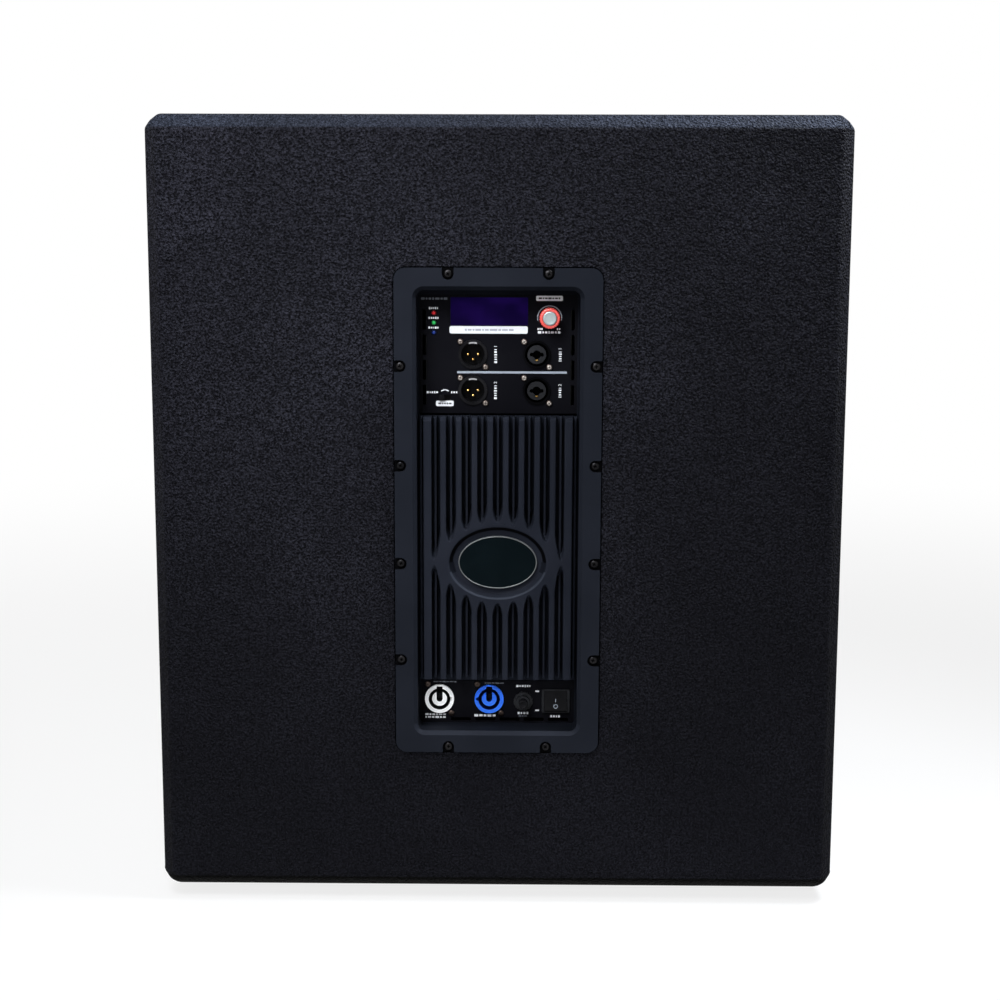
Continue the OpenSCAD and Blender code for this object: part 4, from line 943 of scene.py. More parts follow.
def makeHeatsink(form, trim):
    form = dict(form)
    form["Length"] = sinkTop - sinkBottom
    form["Rows"] = int(form["Length"] / trim["rowStep"]) + 1
    form["Boss Y"] = badgeY - (sinkTop + sinkBottom) / 2
    form["Top"] = form["Length"] / 2
    given = newTree("heatsinkRule", form)
    pitch, high = given["Pitch"], given["Rib height"]
    grid = pitch.node("GeometryNodeMeshGrid", {}, {
        "Size X": given["Width"], "Size Y": given["Length"],
        "Vertices X": given["Columns"], "Vertices Y": given["Rows"]})
    place = pitch.node("GeometryNodeInputPosition")
    x, y = place.axis(0), place.axis(1)
    size = x.absolute()
    turn = x / pitch

    def beyond(pitches):
        return size.maths("GREATER_THAN", size, pitch * pitches)

    def fromNearest(shift):
        # distance from the nearest line of a row of parallel ones
        return ((turn + shift).fraction() - 0.5).absolute() * pitch

    fromRib = fromNearest(1) - beyond(trim["outerRib"]) * given["Outer rib extra"]
    outer = beyond(trim["outerFin"])
    fromFin = fromNearest(0.5) * (1 - outer) + (size - given["Edge fin"]).absolute() * outer
    along = given["Top"] - y

    def strip(distance, half, height, rounding, bevel):
        # a rib or fin across and, at its top end, along
        wall = distance.ramp(half, half + given["Wall"], height, 0.0)
        wall = wall - distance.ramp(half - 0.6, half + 0.05, 0.0, rounding)
        return wall.least(height - bevel + along)

    begun = (given["Length"] - along).ramp(given["Rib end"] - 0.1, given["Rib end"] + 0.4)
    rib = strip(fromRib, given["Rib half"], high, trim["ribRound"], given["Top bevel"]) * begun
    fin = strip(fromFin, given["Fin half"], given["Fin height"], trim["finRound"], trim["finBevel"]) * begun

    up = y - given["Boss Y"]

    def reach(name):
        # one on the lens with this name's half axes, less inside it
        upward = (up.absolute() / given[name + " B"]) ** given["Boss power"]
        return (size / given[name + " A"]) ** 2.0 + upward

    nearFoot = reach("Foot")
    rise = (1 - nearFoot) / (reach("Boss") - nearFoot)
    arch = (fromFin / trim["archHalf"]) ** 2.0 * given["Scoop"]          # a groove ends in an arch
    rise = rise + arch * rise.ramp(trim["archFrom"], trim["archTo"])
    height = rise.ramp(0.0, 1.0) * high
    for other in (rib, fin):
        height = height.maths("SMOOTH_MAX", height, other, given["Fillet"])
    root = (x / given["Seat A"]) ** 2.0 + (up / given["Seat B"]) ** 2.0
    height = height.least(high) - root.maths("SQRT", root).ramp(*trim["seatRim"], trim["seatDepth"], 0.0)
    spot = x.node("ShaderNodeCombineXYZ", {}, {
        0: x * mm + plateMid.x,
        1: rearY - (height + panelOut) * mm,
        2: (y + (sinkTop + sinkBottom) / 2) * mm + plateMid.z})
    moved = x.node("GeometryNodeSetPosition", {}, {"Geometry": grid, "Position": spot})
    mesh = runTree("heatsinkCasting", moved, form, "sink")

    with editing(mesh) as work:
        # the skirt and the underside close it
        skirt = bmesh.ops.extrude_edge_only(work, edges=[e for e in work.edges if e.is_boundary])["geom"]
        for vert in skirt:
            if isinstance(vert, bmesh.types.BMVert):
                vert.co.y = rearY - (panelOut - trim["skirt"]) * mm
        bmesh.ops.holes_fill(work, edges=[e for e in work.edges if e.is_boundary], sides=0)
        bmesh.ops.recalc_face_normals(work, faces=work.faces)
    smoothByAngle(mesh, 40)
    return addPiece("heatsinkCasting", mesh, "sink", standsFor=["heatsink"])
heatsinkCasting = makeHeatsink(sinkForm, sinkTrim)
print("heatsink made,", len(heatsinkCasting.data.polygons), "faces")

# Badge: its dished seat, a thin bright rim and a plain domed face

badgeForm = {"steps": 96, "a": 31.0, "b": 21.0, "rim": 0.95, "dome": 0.5, "sunk": 5.0}


def ovalRings(rings, closed=True):
    middle, steps = (badgeX, badgeY), badgeForm["steps"]
    return ringLoft([
        [onRear(x, y, panelOut + out) for x, y in circle(a, steps, middle, b / a)]
        for a, b, out in rings], closed)


def makeBadge(form):
    a, b, rim = form["a"], form["b"], form["rim"]
    h = sinkForm["Rib height"]
    base = h - form["sunk"]
    seat = addSolid("badgeSeat", [ovalRings([
        (1, 1, h - 6.2), (40.6, 30.6, h - 6.2), (40.6, 30.6, h + 0.02), (39.2, 29.4, h + 0.02),
        (38.6, 28.8, h - 0.15), (38.1, 28.3, h - 0.6), (37.7, 27.9, h - 1.3), (35.4, 25.6, h - 4.3),
        (34.9, 25.1, h - 4.8), (34.2, 24.4, base), (1, 1, base)])], "sink", angle=32)
    # the rim's section as (inset, out), from its inner wall over its crest to its foot
    ring = addSolid("badgeRim", [ovalRings([(a - inset, b - inset, base + out) for inset, out in (
        (rim, 1.9), (rim - 0.05, 2.45), (rim - 0.3, 2.65), (0.5, 2.7), (0.15, 2.5), (0, 2.1), (0, 0.02),
        (rim, 0.02))], closed=False)], "badgeRing", angle=50)
    inner = [(a - rim, b - rim, base + 0.1)]
    for k in range(9):
        share = 1 - (k / 8) ** 1.6 * 0.985
        inner.append(((a - rim) * share, (b - rim) * share, base + 2.25 + form["dome"] * (1 - share ** 2)))
    addSolid("badgeFacePlate", [ovalRings(inner)], "badgeFace",
             standsFor=["badge"], angle=60)
    return ring, seat


badgeRim, badgeSeat = makeBadge(badgeForm)

# Screw heads by Geometry Nodes: one head, set on the screws' places and turned at random

screwKinds = {
    "frameScrews": {"Seed": 4, "r": 3.3, "h": 2.3, "recess": "cross", "shank": 1.75, "finish": "blackScrew"},
    "panelScrews": {"Seed": 9, "r": 2.45, "h": 1.5, "recess": "cross", "shank": 1.5, "finish": "bronzeScrew"},
    "cabinetScrews": {"Seed": 7, "r": 4.8, "h": 2.6, "recess": "hexagon", "shank": 2.4, "finish": "steel"},
}


def islandsOf(mesh):
    # the low and high corners of each loose part of a mesh, in the order of its vertices
    work = bmesh.new()
    work.from_mesh(mesh)
    bmesh.ops.remove_doubles(work, verts=work.verts, dist=0.00001)
    seen, found = set(), []
    for start in work.verts:
        if start in seen:
            continue
        stack, part = [start], set()
        while stack:
            vert = stack.pop()
            if vert in part:
                continue
            part.add(vert)
            stack += [e.other_vert(vert) for e in vert.link_edges]
        seen |= part
        low = Vector([min(v.co[i] for v in part) for i in range(3)])
        high = Vector([max(v.co[i] for v in part) for i in range(3)])
        found.append((low, high))
    work.free()
    return found


def screwHead(kind):
    # a pan head with its recess, its underside at the origin and its top along +Z
    r, h, shank = kind["r"] * mm, kind["h"] * mm, kind["shank"] * mm
    profile = [(shank, -4 * mm), (shank, -0.05 * mm), (r * 0.97, 0), (r, 0.12 * h), (r, 0.45 * h),
               (r * 0.95, 0.66 * h), (r * 0.84, 0.83 * h), (r * 0.66, 0.94 * h), (r * 0.35, h), (r * 0.02, h)]
    rings = [[Vector((x, y, z)) for x, y in circle(a, 40)] for a, z in profile]
    if kind["recess"] == "cross":
        arm, width = r * 0.56, r * 0.15
        quarter = [(arm, -width), (arm, width), (width, width)]
        plan = []
        for _ in range(4):
            plan += quarter
            quarter = [(-y, x) for x, y in quarter]
    else:
        plan = circle(r * 0.4, 6)
    tool = cutter(plan, lambda u, v, d: Vector((u, v, d)) if d > 0 else Vector((u * 0.5, v * 0.5, h * 0.3)),
                  -1, h + mm)
    return cutAway("screwHead", turnOut(meshFrom("screwHead", *ringLoft(rings))), [tool])


def screwsOn(name, kind, places, turn, standsFor):
    # places of the heads' undersides; turn brings +Z to the direction the heads face
    mesh = screwHead(kind)
    mesh.transform(turn.to_4x4())
    head = linked(name + "Head", mesh)
    axis = turn @ Vector((0, 0, 1))
    sizes = {"Head": head, "Seed": kind["Seed"], "Turn": 2 * math.pi}
    given = newTree(name + "Tree", sizes)
    first = given["Geometry"]
    one = first.node("GeometryNodeObjectInfo", {}, {"Object": given["Head"]}, "Geometry")
    spin = first.node("FunctionNodeRandomValue", {"data_type": "FLOAT"},
                      {"Min": 0.0, "Max": given["Turn"], "Seed": given["Seed"]}, 1)
    about = first.node("ShaderNodeCombineXYZ", {}, {i: spin * axis[i] for i in range(3)})
    points = first.node("GeometryNodeMeshToPoints", {}, {"Mesh": first})
    heads = first.node("GeometryNodeInstanceOnPoints", {}, {"Points": points, "Instance": one})
    heads = first.node("GeometryNodeRotateInstances", {}, {"Instances": heads, "Rotation": about})
    made = runTree(name, heads, sizes, kind["finish"], start=meshFrom(name + "Places", places, []))
    bpy.data.objects.remove(head)
    smoothByAngle(made, 40)
    return addPiece(name, made, kind["finish"], standsFor=standsFor)


faceWays = {
    # what brings +Z to each side
    "Rear": Matrix.Rotation(math.pi / 2, 3, "X"), "Front": Matrix.Rotation(-math.pi / 2, 3, "X"),
    "Top": Matrix.Identity(3), "Under": Matrix.Rotation(math.pi, 3, "X"),
    "Left": Matrix.Rotation(-math.pi / 2, 3, "Y"), "Right": Matrix.Rotation(math.pi / 2, 3, "Y"),
}


def rearPlaces(nodeName, height):
    # where the heads of a node's screws sit, from its loose parts
    islands = islandsOf(nodes[nodeName].data)
    return [Vector(((a.x + b.x) / 2, a.y + height * mm, (a.z + b.z) / 2)) for a, b in islands]


frameHeads, panelHeads = (
    screwsOn(
        name, screwKinds[kind], rearPlaces(node, screwKinds[kind]["h"]), faceWays["Rear"], [node])
    for name, kind, node, slotName in (
        ("frameScrewHeads", "frameScrews", "frame_screws", "black_steel"),
        ("panelScrewHeads", "panelScrews", "socket_screws", "bronze_screw")))
groups = {}
screwLength = 0.012         # longer than any cabinet screw's head is wide
for a, b in islandsOf(nodes["cabinet_screws"].data):
    size, middle = b - a, (a + b) / 2
    axis = next(i for i in (0, 1, 2) if size[i] > screwLength or i == 2)
    outward = middle[axis] > (0, -1, 0.3)[axis]
    way = (("Left", "Right"), ("", "Front"), ("Under", "Top"))[axis][outward]
    head = screwKinds["cabinetScrews"]["h"] * mm
    middle[axis] = b[axis] - head if outward else a[axis] + head
    groups.setdefault(way, []).append(middle)
for way, places in groups.items():
    screwsOn("cabinetScrews" + way, screwKinds["cabinetScrews"], places, faceWays[way],
             ["cabinet_screws"] if way == "Top" else [])
print("screws set:", {way: len(places) for way, places in groups.items()})

# Grille: a perforated sheet by Geometry Nodes inside a plain folded border

grilleForm = {
    "Pitch": 0.011, "Row": 0.0095, "Hole": 0.0037,
    "border": 0.016, "sheet": 0.0015, "rim": 0.014, "fold": 0.0022,
}


def sheetPoints(plan, thickness):
    # the sheet's face and, behind it, its back
    return [Vector((u, y, v)) for y in (0, -thickness) for u, v in plan]


def holeTile(form):
    # one rectangle of the sheet with a round hole; its edges meet its neighbours' vertices
    p, q = form["Pitch"] / 2, form["Row"] / 2
    outer = [(p, 0), (p, q), (0, q), (-p, q), (-p, 0), (-p, -q), (0, -q), (p, -q)]
    faces = []
    for quarter in range(4):
        o, h = quarter * 2, quarter * 3
        corner, after = o + 1, (o + 2) % 8
        holes = [8 + (h + k) % 12 for k in range(4)]
        faces += [[o, corner, holes[1], holes[0]], [corner, holes[2], holes[1]],
                  [corner, after, holes[3], holes[2]]]
    back = [[i + 20 for i in face][::-1] for face in faces]
    wall = [[8 + k, 8 + (k + 1) % 12, 28 + (k + 1) % 12, 28 + k] for k in range(12)]
    points = sheetPoints(outer + circle(form["Hole"], 12), form["sheet"])
    return meshFrom("gridTile", points, faces + back + wall)


def halfTile(form, side):
    # the plain half tile at the left or right end of every second row
    p, q = form["Pitch"] / 2, form["Row"] / 2
    plan = [(side * (u - p / 2), v) for u, v in ((0, -q), (p, -q), (p, 0), (p, q), (0, q), (0, 0))]
    return meshFrom("gridHalf", sheetPoints(plan, form["sheet"]), [[0, 1, 2, 3, 4, 5], [11, 10, 9, 8, 7, 6]])


def grilleBorder(low, high, columns, rows, form):
    # rings round the perforated field, out over the folded edge and back inside
    p, q, t, fold = form["Pitch"] / 2, form["Row"] / 2, form["sheet"], form["fold"]
    halfX, halfZ = columns * p + p / 2, rows * q
    path = [(-halfX + i * p, -halfZ) for i in range(2 * columns + 1)]
    path += [(halfX, -halfZ + i * q) for i in range(2 * rows)]
    path += [(halfX - i * p, halfZ) for i in range(2 * columns + 1)]
    path += [(-halfX, halfZ - i * q) for i in range(2 * rows)]
    centre, outX, outZ = (low + high) / 2, (high.x - low.x) / 2, (high.z - low.z) / 2

    def ring(inset, depth):
        sx, sz = (outX - inset) / halfX, (outZ - inset) / halfZ
        return [Vector((centre.x + u * sx, high.y - depth, centre.z + v * sz)) for u, v in path]

    inner = [Vector((centre.x + u, high.y, centre.z + v)) for u, v in path]
    rings = [inner, ring(fold, 0), ring(fold * 0.3, fold * 0.3), ring(0, fold), ring(0, form["rim"]),
             ring(t, form["rim"]), ring(t, fold), ring(fold, t), [v - Vector((0, t, 0)) for v in inner]]
    return meshFrom("grilleBorder", *ringLoft(rings, closed=False)), halfX, halfZ, centre


def makeGrille(form):
    low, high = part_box("grille")
    columns = int((high.x - low.x - 2 * form["border"]) / form["Pitch"] - 0.5)
    rows = int((high.z - low.z - 2 * form["border"]) / form["Row"])
    border, halfX, halfZ, centre = grilleBorder(low, high, columns, rows, form)
    helpers = {label: linked(label, mesh) for label, mesh in (
        ("Border", border), ("Tile", holeTile(form)), ("Left end", halfTile(form, 1)),
        ("Right end", halfTile(form, -1)))}
    sizes = {"Pitch": form["Pitch"], "Row": form["Row"], "Columns": columns, "Rows": rows, **helpers}
    given = newTree("grilleTree", sizes)
    pitch = given["Pitch"]
    number = pitch.node("GeometryNodeInputIndex")

    def shapeOf(helper):
        return pitch.node("GeometryNodeObjectInfo", {}, {"Object": given[helper]}, "Geometry")

    def spread(count, x, row, helper):
        # copies of a helper, their place from the left edge and their row up the sheet
        place = pitch.node("ShaderNodeCombineXYZ", {}, {
            0: x - halfX + centre.x, 1: high.y, 2: (row + 0.5) * given["Row"] - halfZ + centre.z})
        cloud = pitch.node("GeometryNodePoints", {}, {"Count": count, "Position": place})
        return pitch.node("GeometryNodeInstanceOnPoints", {}, {"Points": cloud, "Instance": shapeOf(helper)})

    row = (number / given["Columns"]).maths("FLOOR", number / given["Columns"])
    column = number - row * given["Columns"]
    odd = row.maths("FLOORED_MODULO", row, 2)
    halfRows, endX = given["Rows"] / 2, form["Pitch"] / 4
    parts = [
        spread(given["Columns"] * given["Rows"], (column + 0.5 + odd * 0.5) * pitch, row, "Tile"),
        spread(halfRows.maths("FLOOR", halfRows), number * 0 + endX, number * 2 + 1, "Left end"),
        spread(halfRows.maths("CEIL", halfRows), number * 0 + (2 * halfX - endX), number * 2, "Right end"),
        shapeOf("Border"),
    ]
    whole = pitch.node("GeometryNodeJoinGeometry")
    join = whole.tree.nodes[-1]
    for part in parts:
        whole.tree.links.new(part.socket, join.inputs[0])
    mesh = turnOut(runTree("grilleSheet", whole, sizes, "grille"))
    removeAll(helpers.values())
    smoothByAngle(mesh, 50)
    return addPiece("grilleSheet", mesh, "grille", standsFor=["grille"])


grilleSheet = makeGrille(grilleForm)
print("grille made,", len(grilleSheet.data.polygons), "faces")

# Knob: fluted red ring and turned cap

knobForm = {
    "flutes": 24, "depth": 0.35, "red": 8.25, "cap": 5.5, "bore": 4.2, "gap": 1.5, "high": 12.0, "steps": 144,
}


def makeKnob(form):
    spot = centreOf("encoder_knob")
    foot = panelOut + form["gap"]
    top = foot + form["high"] - 1
    r, c, bore, steps = form["red"], form["cap"], form["bore"], form["steps"]
    verts, faces = lathe([
        (bore, foot + 4.2), (bore, foot), (r - 0.3, foot), (r, foot + 0.3), (r, foot + 2),
        (r - 0.15, top - 1.2), (r - 0.3, top - 0.55), (r - 0.7, top - 0.12), (r - 1.2, top),
        (c + 0.35, top), (c + 0.1, top - 0.25)],
        spot, steps)
    middle = onRear(*spot, 0)
    for k, vert in enumerate(verts):
        away = Vector((vert.x - middle.x, 0, vert.z - middle.z))
        if away.length > (r - 1.0) * mm:
            turn = 0.5 + 0.5 * math.cos(form["flutes"] * 2 * math.pi * (k % steps) / steps)
            verts[k] = vert - away.normalized() * form["depth"] * turn ** 3 * mm
    ring = addSolid("knobRing", [(verts, faces)], "redKnob", "knob_group", ["encoder_knob"], 40)
    addSolid("knobCap", [lathe([
        (c, top - 0.6), (c, top + 0.35), (c - 0.2, top + 0.75), (c - 0.6, top + 0.95), (c - 1.1, top + 1.0),
        (c - 1.6, top + 0.92), (2.0, top + 0.84), (0.02, top + 0.84)], spot, 96)],
        "paleMetal", "knob_group", ["knob_cap"], 40)
    return ring


knobRing = makeKnob(knobForm)

# Sockets: dark floors, the latch of an output, the disc of an input

socketForm = {
    "wellR": 9.3, "wellDepth": 15.0, "proud": 1.4, "pins": 4.0, "latchR": (8.6, 9.7), "latchAngle": 20,
}


def looseCentres(nodeName, low=0.008):
    # centres on the rear face of a node's larger loose parts, without repeats
    spots = []
    for a, b in islandsOf(nodes[nodeName].data):
        spot = fromRear((a + b) / 2)[:2]
        if (b - a).x > low and all(math.dist(spot, other) > 2 for other in spots):
            spots.append(spot)
    return sorted(spots, key=lambda s: -s[1])


def arcOutline(centre, inner, outer, start, end, steps):
    angles = [math.radians(start + (end - start) * i / steps) for i in range(steps + 1)]
    return [(centre[0] + r * math.cos(a), centre[1] + r * math.sin(a))
            for r, turn in ((outer, angles), (inner, angles[::-1])) for a in turn]


def arcSlab(centre, inner, outer, start, end, low, high, steps=14):
    return slabOf(arcOutline(centre, inner, outer, start, end, steps), low, high)


def socketDetails(form):
    floors, latches, leaves = [], [], []
    bottom = panelOut + form["proud"] - form["wellDepth"]
    r, pins, half = form["wellR"], form["pins"], form["latchAngle"]
    for x, y in looseCentres("audio_outputs"):
        floors.append(lathe([(r - 0.05, bottom - 0.2), (r - 0.05, panelOut - 1.6), (r - 0.45, panelOut - 1.6),
                             (r - 0.45, bottom + 0.5), (0.02, bottom + 0.5)], (x, y)))
        for pin in ((x + pins, y), (x - pins, y), (x, y - pins)):
            floors.append(lathe([(2.0, bottom + 0.4), (2.0, bottom + 1.4), (1.8, bottom + 1.6),
                                 (0.02, bottom + 1.6)], pin, 24))
        latches.append(arcSlab((x, y), *form["latchR"], 90 - half, 90 + half, panelOut - 2.0, panelOut + 1.6))
    for x, y in looseCentres("audio_inputs"):
        leaves.append(arcSlab((x, y - pins), 0.45, 1.1, 200, 340, panelOut - 8, panelOut - 3.2, 6))
    addSolid("outputFloors", floors, "blackPlastic")
    addSolid("outputLatches", latches, "dullSteel")
    addSolid("inputContacts", leaves, "gold")


socketDetails(socketForm)


def secondFinish(piece, finish, inside, whole=False):
    # gives the faces for which inside(x, y, out) holds, at their middle or all over, another finish
    mesh = piece.data
    mesh.materials.append(finishes[finish])
    for face in mesh.polygons:
        spots = [mesh.vertices[i].co for i in face.vertices] if whole else [face.center]
        if all(inside(*fromRear(c)) for c in spots):
            face.material_index = len(mesh.materials) - 1


def headTops(nodeName, kind):
    # centres and heights of a group's screw heads on the rear face
    places = [fromRear(p) for p in rearPlaces(nodeName, kind["h"])]
    return [(x, y, out + kind["h"]) for x, y, out in places]


def near(x, y, spots, reach):
    return any(math.dist((x, y), spot[:2]) < reach for spot in spots)


frameTops = headTops("frame_screws", screwKinds["frameScrews"])
panelTops = headTops("socket_screws", screwKinds["panelScrews"])
inputSpots = looseCentres("audio_inputs", 0.012)
sinkOut = panelOut + sinkForm["Rib height"]
shadedAbove, litBelow = badgeY, badgeY - 8          # where the wall of the badge's seat changes from painted shade above to a painted highlight below
# painted shade in the frame screws' recesses
secondFinish(frameHeads, "deepBlackAndPaintedShade", lambda x, y, out: any(
    near(x, y, [s], 1.9) and s[2] - 2 < out < s[2] - 0.25 for s in frameTops))
# painted glint: a pale centre on the upper panel screws only
secondFinish(panelHeads, "glint", lambda x, y, out: y > 0 and any(
    near(x, y, [s], 1.25) and out > s[2] - 0.6 for s in panelTops))
# painted shade on the seat's upper and middle wall, a painted highlight on its lower lip
secondFinish(badgeSeat, "deepBlackAndPaintedShade", lambda x, y, out: (
    sinkOut - 4.0 < out < sinkOut - 0.7 and y > shadedAbove))
secondFinish(badgeSeat, "shadedCast", lambda x, y, out: (
    sinkOut - 4.9 < out < sinkOut - 0.7 and litBelow < y <= shadedAbove))
secondFinish(badgeSeat, "litLip", lambda x, y, out: sinkOut - 1.1 < out < sinkOut - 0.05 and y < litBelow)
# the frame: painted shade in its notches and on the walls of its mouth, a painted highlight on the lip at its
# foot
secondFinish(soft["amp_frame"], "deepBlackAndPaintedShade", lambda x, y, out: (
    out < plateOut - 0.8 and near(x, y, frameTops, 5.2)))
secondFinish(soft["amp_frame"], "shadedCast", lambda x, y, out: (
    panelOut < out < plateOut - (0.2 if y > 168 else 4) and abs(x) < 66 and abs(y) < 184))
secondFinish(soft["amp_frame"], "litCast", lambda x, y, out: (
    plateOut - 2.4 < out < plateOut - 0.1 and abs(x) < 66 and -182 < y < -160))
secondFinish(soft["audio_inputs"], "insertGrey", lambda x, y, out: (
    out > panelOut - 2 and near(x, y, inputSpots, 7.7)), whole=True)
# painted shade deep in the mains connectors' channels
for name, paintedShadeFinish in (("mains_outlet", "whiteDeep"), ("mains_inlet", "blueDeep")):
    spot = centreOf(name)
    secondFinish(soft[name], paintedShadeFinish, lambda x, y, out: out < panelOut - 1.5 and near(x, y, [spot], 9.5))
print("knob and sockets detailed")

# Printed marks: plain bars, dashes and numbers in place of the maker's words

markForm = {"thick": 0.05, "under": 0.05}
markSets = {"whiteInk": [], "labelInk": [], "greyInk": [], "dimInk": [], "darkInk": [], "palePrint": []}


def bar(ink, x0, x1, y0, y1, lift=0.0):
    low = panelOut - markForm["under"] + lift
    w, h = x1 - x0, y1 - y0
    outline = roundedBox((x0 + x1) / 2, (y0 + y1) / 2, w, h, min(w, h) * 0.24, 3)
    markSets[ink].append(slabOf(outline, low, panelOut + markForm["thick"] + lift))


def dashes(ink, start, end, across, size, widths, upright=False, lift=0.0, gap=0.55):
    # a run of small uneven bars, as wide as a printed word
    total = sum(widths) + gap * (len(widths) - 1) * size / 1.4
    scale = (end - start) / total
    at = start
    for k, width in enumerate(widths):
        step = width * scale
        tall = size * (1.0 if k % 3 else 1.18)
        if upright:
            bar(ink, across - tall / 2, across + tall / 2, at, at + step, lift)
        else:
            bar(ink, at, at + step, across - tall / 2, across + tall / 2, lift)
        at += step + gap * scale * size / 1.4


def digit(ink, text, x, y, size, turned=False, lift=0.0):
    curve = bpy.data.curves.new("numberShape", "FONT")
    curve.body, curve.size, curve.extrude = text, size * mm, (markForm["thick"] + markForm["under"]) / 2 * mm
    curve.align_x, curve.align_y = "CENTER", "CENTER"
    curve.resolution_u = 3
    maker = linked("numberMaker", curve)
    mesh = evaluated(maker)
    removeAll([maker])
    turn = Matrix.Rotation(math.pi / 2, 4, "X") @ Matrix.Rotation(math.pi / 2 if turned else 0, 4, "Z")
    mesh.transform(Matrix.Translation(onRear(x, y, panelOut + lift)) @ turn)
    markSets[ink].append(([v.co.copy() for v in mesh.vertices], [list(p.vertices) for p in mesh.polygons]))


def onPanel(pointName):
    # an image point's place on the panels, in millimetres from the frame's middle
    return fromRear(placeOn(panelTree, pointName))[:2]


panelTree = treeOf(nodes["control_plate"], nodes["mains_plate"])
strip, line, groundLabel = onPanel("labelStrip"), onPanel("silverLine"), onPanel("groundLabel")
knob, led, ground = centreOf("encoder_knob"), centreOf("led_red"), centreOf("ground_switch")
outlet, breaker, rocker = centreOf("mains_outlet"), centreOf("breaker"), centreOf("rocker_bezel")
inlet = (centreOf("mains_inlet")[0], outlet[1])
bars = [
    # ink, place, its left, right, lower and upper edges from there
    ("whiteInk", strip, -30.6, 30.6, -2.9, 2.9),
    ("greyInk", line, -43, 43, -0.85, 0.85),
    ("labelInk", knob, -10.6, 10.2, 13.2, 17.2),
    ("whiteInk", groundLabel, -7.0, 7.0, -2.2, 2.2),
    ("whiteInk", breaker, 9.8, 12.9, 7.3, 8.5),
    ("whiteInk", breaker, 9.8, 12.9, -8.5, -7.3),
]
for ink, (x, y), left, right, lower, upper in bars:
    bar(ink, x + left, x + right, y + lower, y + upper)

onLabel = 0.06
words = [
    # ink, place, start, end and height from there, size, widths, lift above the panel
    ("palePrint", strip, -18.5, 19.5, 0, 1.25, (1, 2, 1, 3, 1, 2, 4, 1.5, 3, 2.5), onLabel),
    ("darkInk", knob, -8.6, 8.2, 15.2, 1.1, (2, 1, 1.6, 2, 1.2, 1.8, 1), onLabel),
    ("whiteInk", knob, -9.4, -5.4, -8.6, 1.3, (1, 0.8, 1), 0),
    ("whiteInk", knob, 5.6, 8.2, -8.6, 1.3, (1.2, 0.8), 0),
    ("whiteInk", knob, -9.1, 8.4, -11.2, 1.6, (2.2, 1, 1.6, 0.8, 2, 1.2, 1.6), 0),
    ("whiteInk", led, -4.0, 3.2, 3.7, 1.5, (1.8, 1.2, 1, 1.5, 1.1), 0),
    ("whiteInk", led, -4.4, 3.6, -3.9, 1.5, (1.8, 1.2, 1, 1.5, 1.1), 0),
    ("whiteInk", led, -4.4, 3.6, -11.5, 1.5, (1.8, 1.2, 1, 1.5, 1.1), 0),
    ("dimInk", led, -10, 10.5, 11, 1.5, (2, 1, 1.5, 1, 2.4, 1.2, 2), 0),
    ("darkInk", groundLabel, -5.2, 5.2, 0, 1.1, (2, 1, 1.5, 1.2, 1.8), onLabel),
    ("whiteInk", ground, -14.3, -5.4, 4.2, 1.5, (1.8, 1, 1.4, 1.2, 1.6), 0),
    ("whiteInk", ground, 4.9, 9.8, 4.2, 1.5, (1, 1.4, 1.2), 0),
    ("dimInk", outlet, -5.0, 13.6, 13.9, 0.9, (1, 2, 1.6, 2.4, 1.8, 2.6, 1.4), 0),
    ("dimInk", inlet, -3.6, 11.6, 12.9, 0.9, (1, 2, 1.6, 2.4, 1.8), 0),
    ("whiteInk", outlet, -11.6, 5.0, -13.2, 1.35, (2, 1.2, 1.8, 1, 2.2, 1.6), 0),
    ("whiteInk", outlet, -11.6, 5.0, -15.5, 1.35, (1, 2, 1.4, 2.2, 1.2, 1.8), 0),
    ("whiteInk", inlet, -12.0, 5.2, -13.9, 1.7, (2.6, 2.2, 1.8, 2.6, 2.0), 0),
    ("whiteInk", breaker, -5.6, 5.8, 12.2, 1.6, (2, 1.4, 1.8, 1.2, 1.6, 1), 0),
    ("whiteInk", breaker, -4.4, 4.2, -10.2, 1.7, (1.6, 1.2, 1.8, 1.4), 0),
    ("dimInk", breaker, -3.6, 3.2, -12.6, 1.0, (1.6, 1.2, 1.8), 0),
    ("whiteInk", rocker, -4.2, 3.6, -13.0, 1.7, (1.4, 1.8, 1.2, 1.6), 0),
]
for ink, (x, y), start, end, height, size, widths, lift in words:
    dashes(ink, x + start, x + end, y + height, size, widths, lift=lift)

arcs = [
    # ink, centre, radii, angles, steps
    ("greyInk", knob, 9.0, 9.75, -12, 192, 36),
    ("whiteInk", (ground[0], ground[1] + 1.2), 4.4, 5.3, 52, 128, 14),
]
for ink, centre, inner, outer, start, end, steps in arcs:
    markSets[ink].append(arcSlab(
        centre, inner, outer, start, end, panelOut - markForm["under"], panelOut + markForm["thick"], steps))

numberedWords = [
    # image point, length, widths
    ("outputMark", 14.2, (2.2, 1.6, 1.2, 1.6, 2.0, 1.0)),
    ("inputMark", 11.0, (1.2, 2.0, 1.6, 1.8, 1.0)),
]
for pointName, length, widths in numberedWords:
    x, y = onPanel(pointName)
    for row in range(2):
        low, high = y - row * 28.3 - length / 2, y - row * 28.3 + length / 2
        dashes("whiteInk", low, high - 3.4, x, 2.0, widths, upright=True, gap=0.9)
        digit("whiteInk", str(row + 1), x, high - 1.2, 3.6, turned=True)
for ink, parts in markSets.items():
    if parts:
        addSolid("marks" + ink[0].upper() + ink[1:], parts, ink, angle=30)
print("marks printed:", {ink: len(parts) for ink, parts in markSets.items()})

# The rocker's two marks ride on the rocker

rockerForm = {
    "tilt": math.radians(-10), "pivotOut": -0.6, "thick": 0.05,
    "I": (0.55, 2.6), "iUp": 0.1, "O": (1.25, 1.75), "oUp": -4.6,
    # the key's surface: how far up and out its fold is, and how far it rises over each half's length
    "foldUp": 1.5, "foldOut": 1.5, "rise": 1.1, "above": 6.6, "below": 9.6,
}


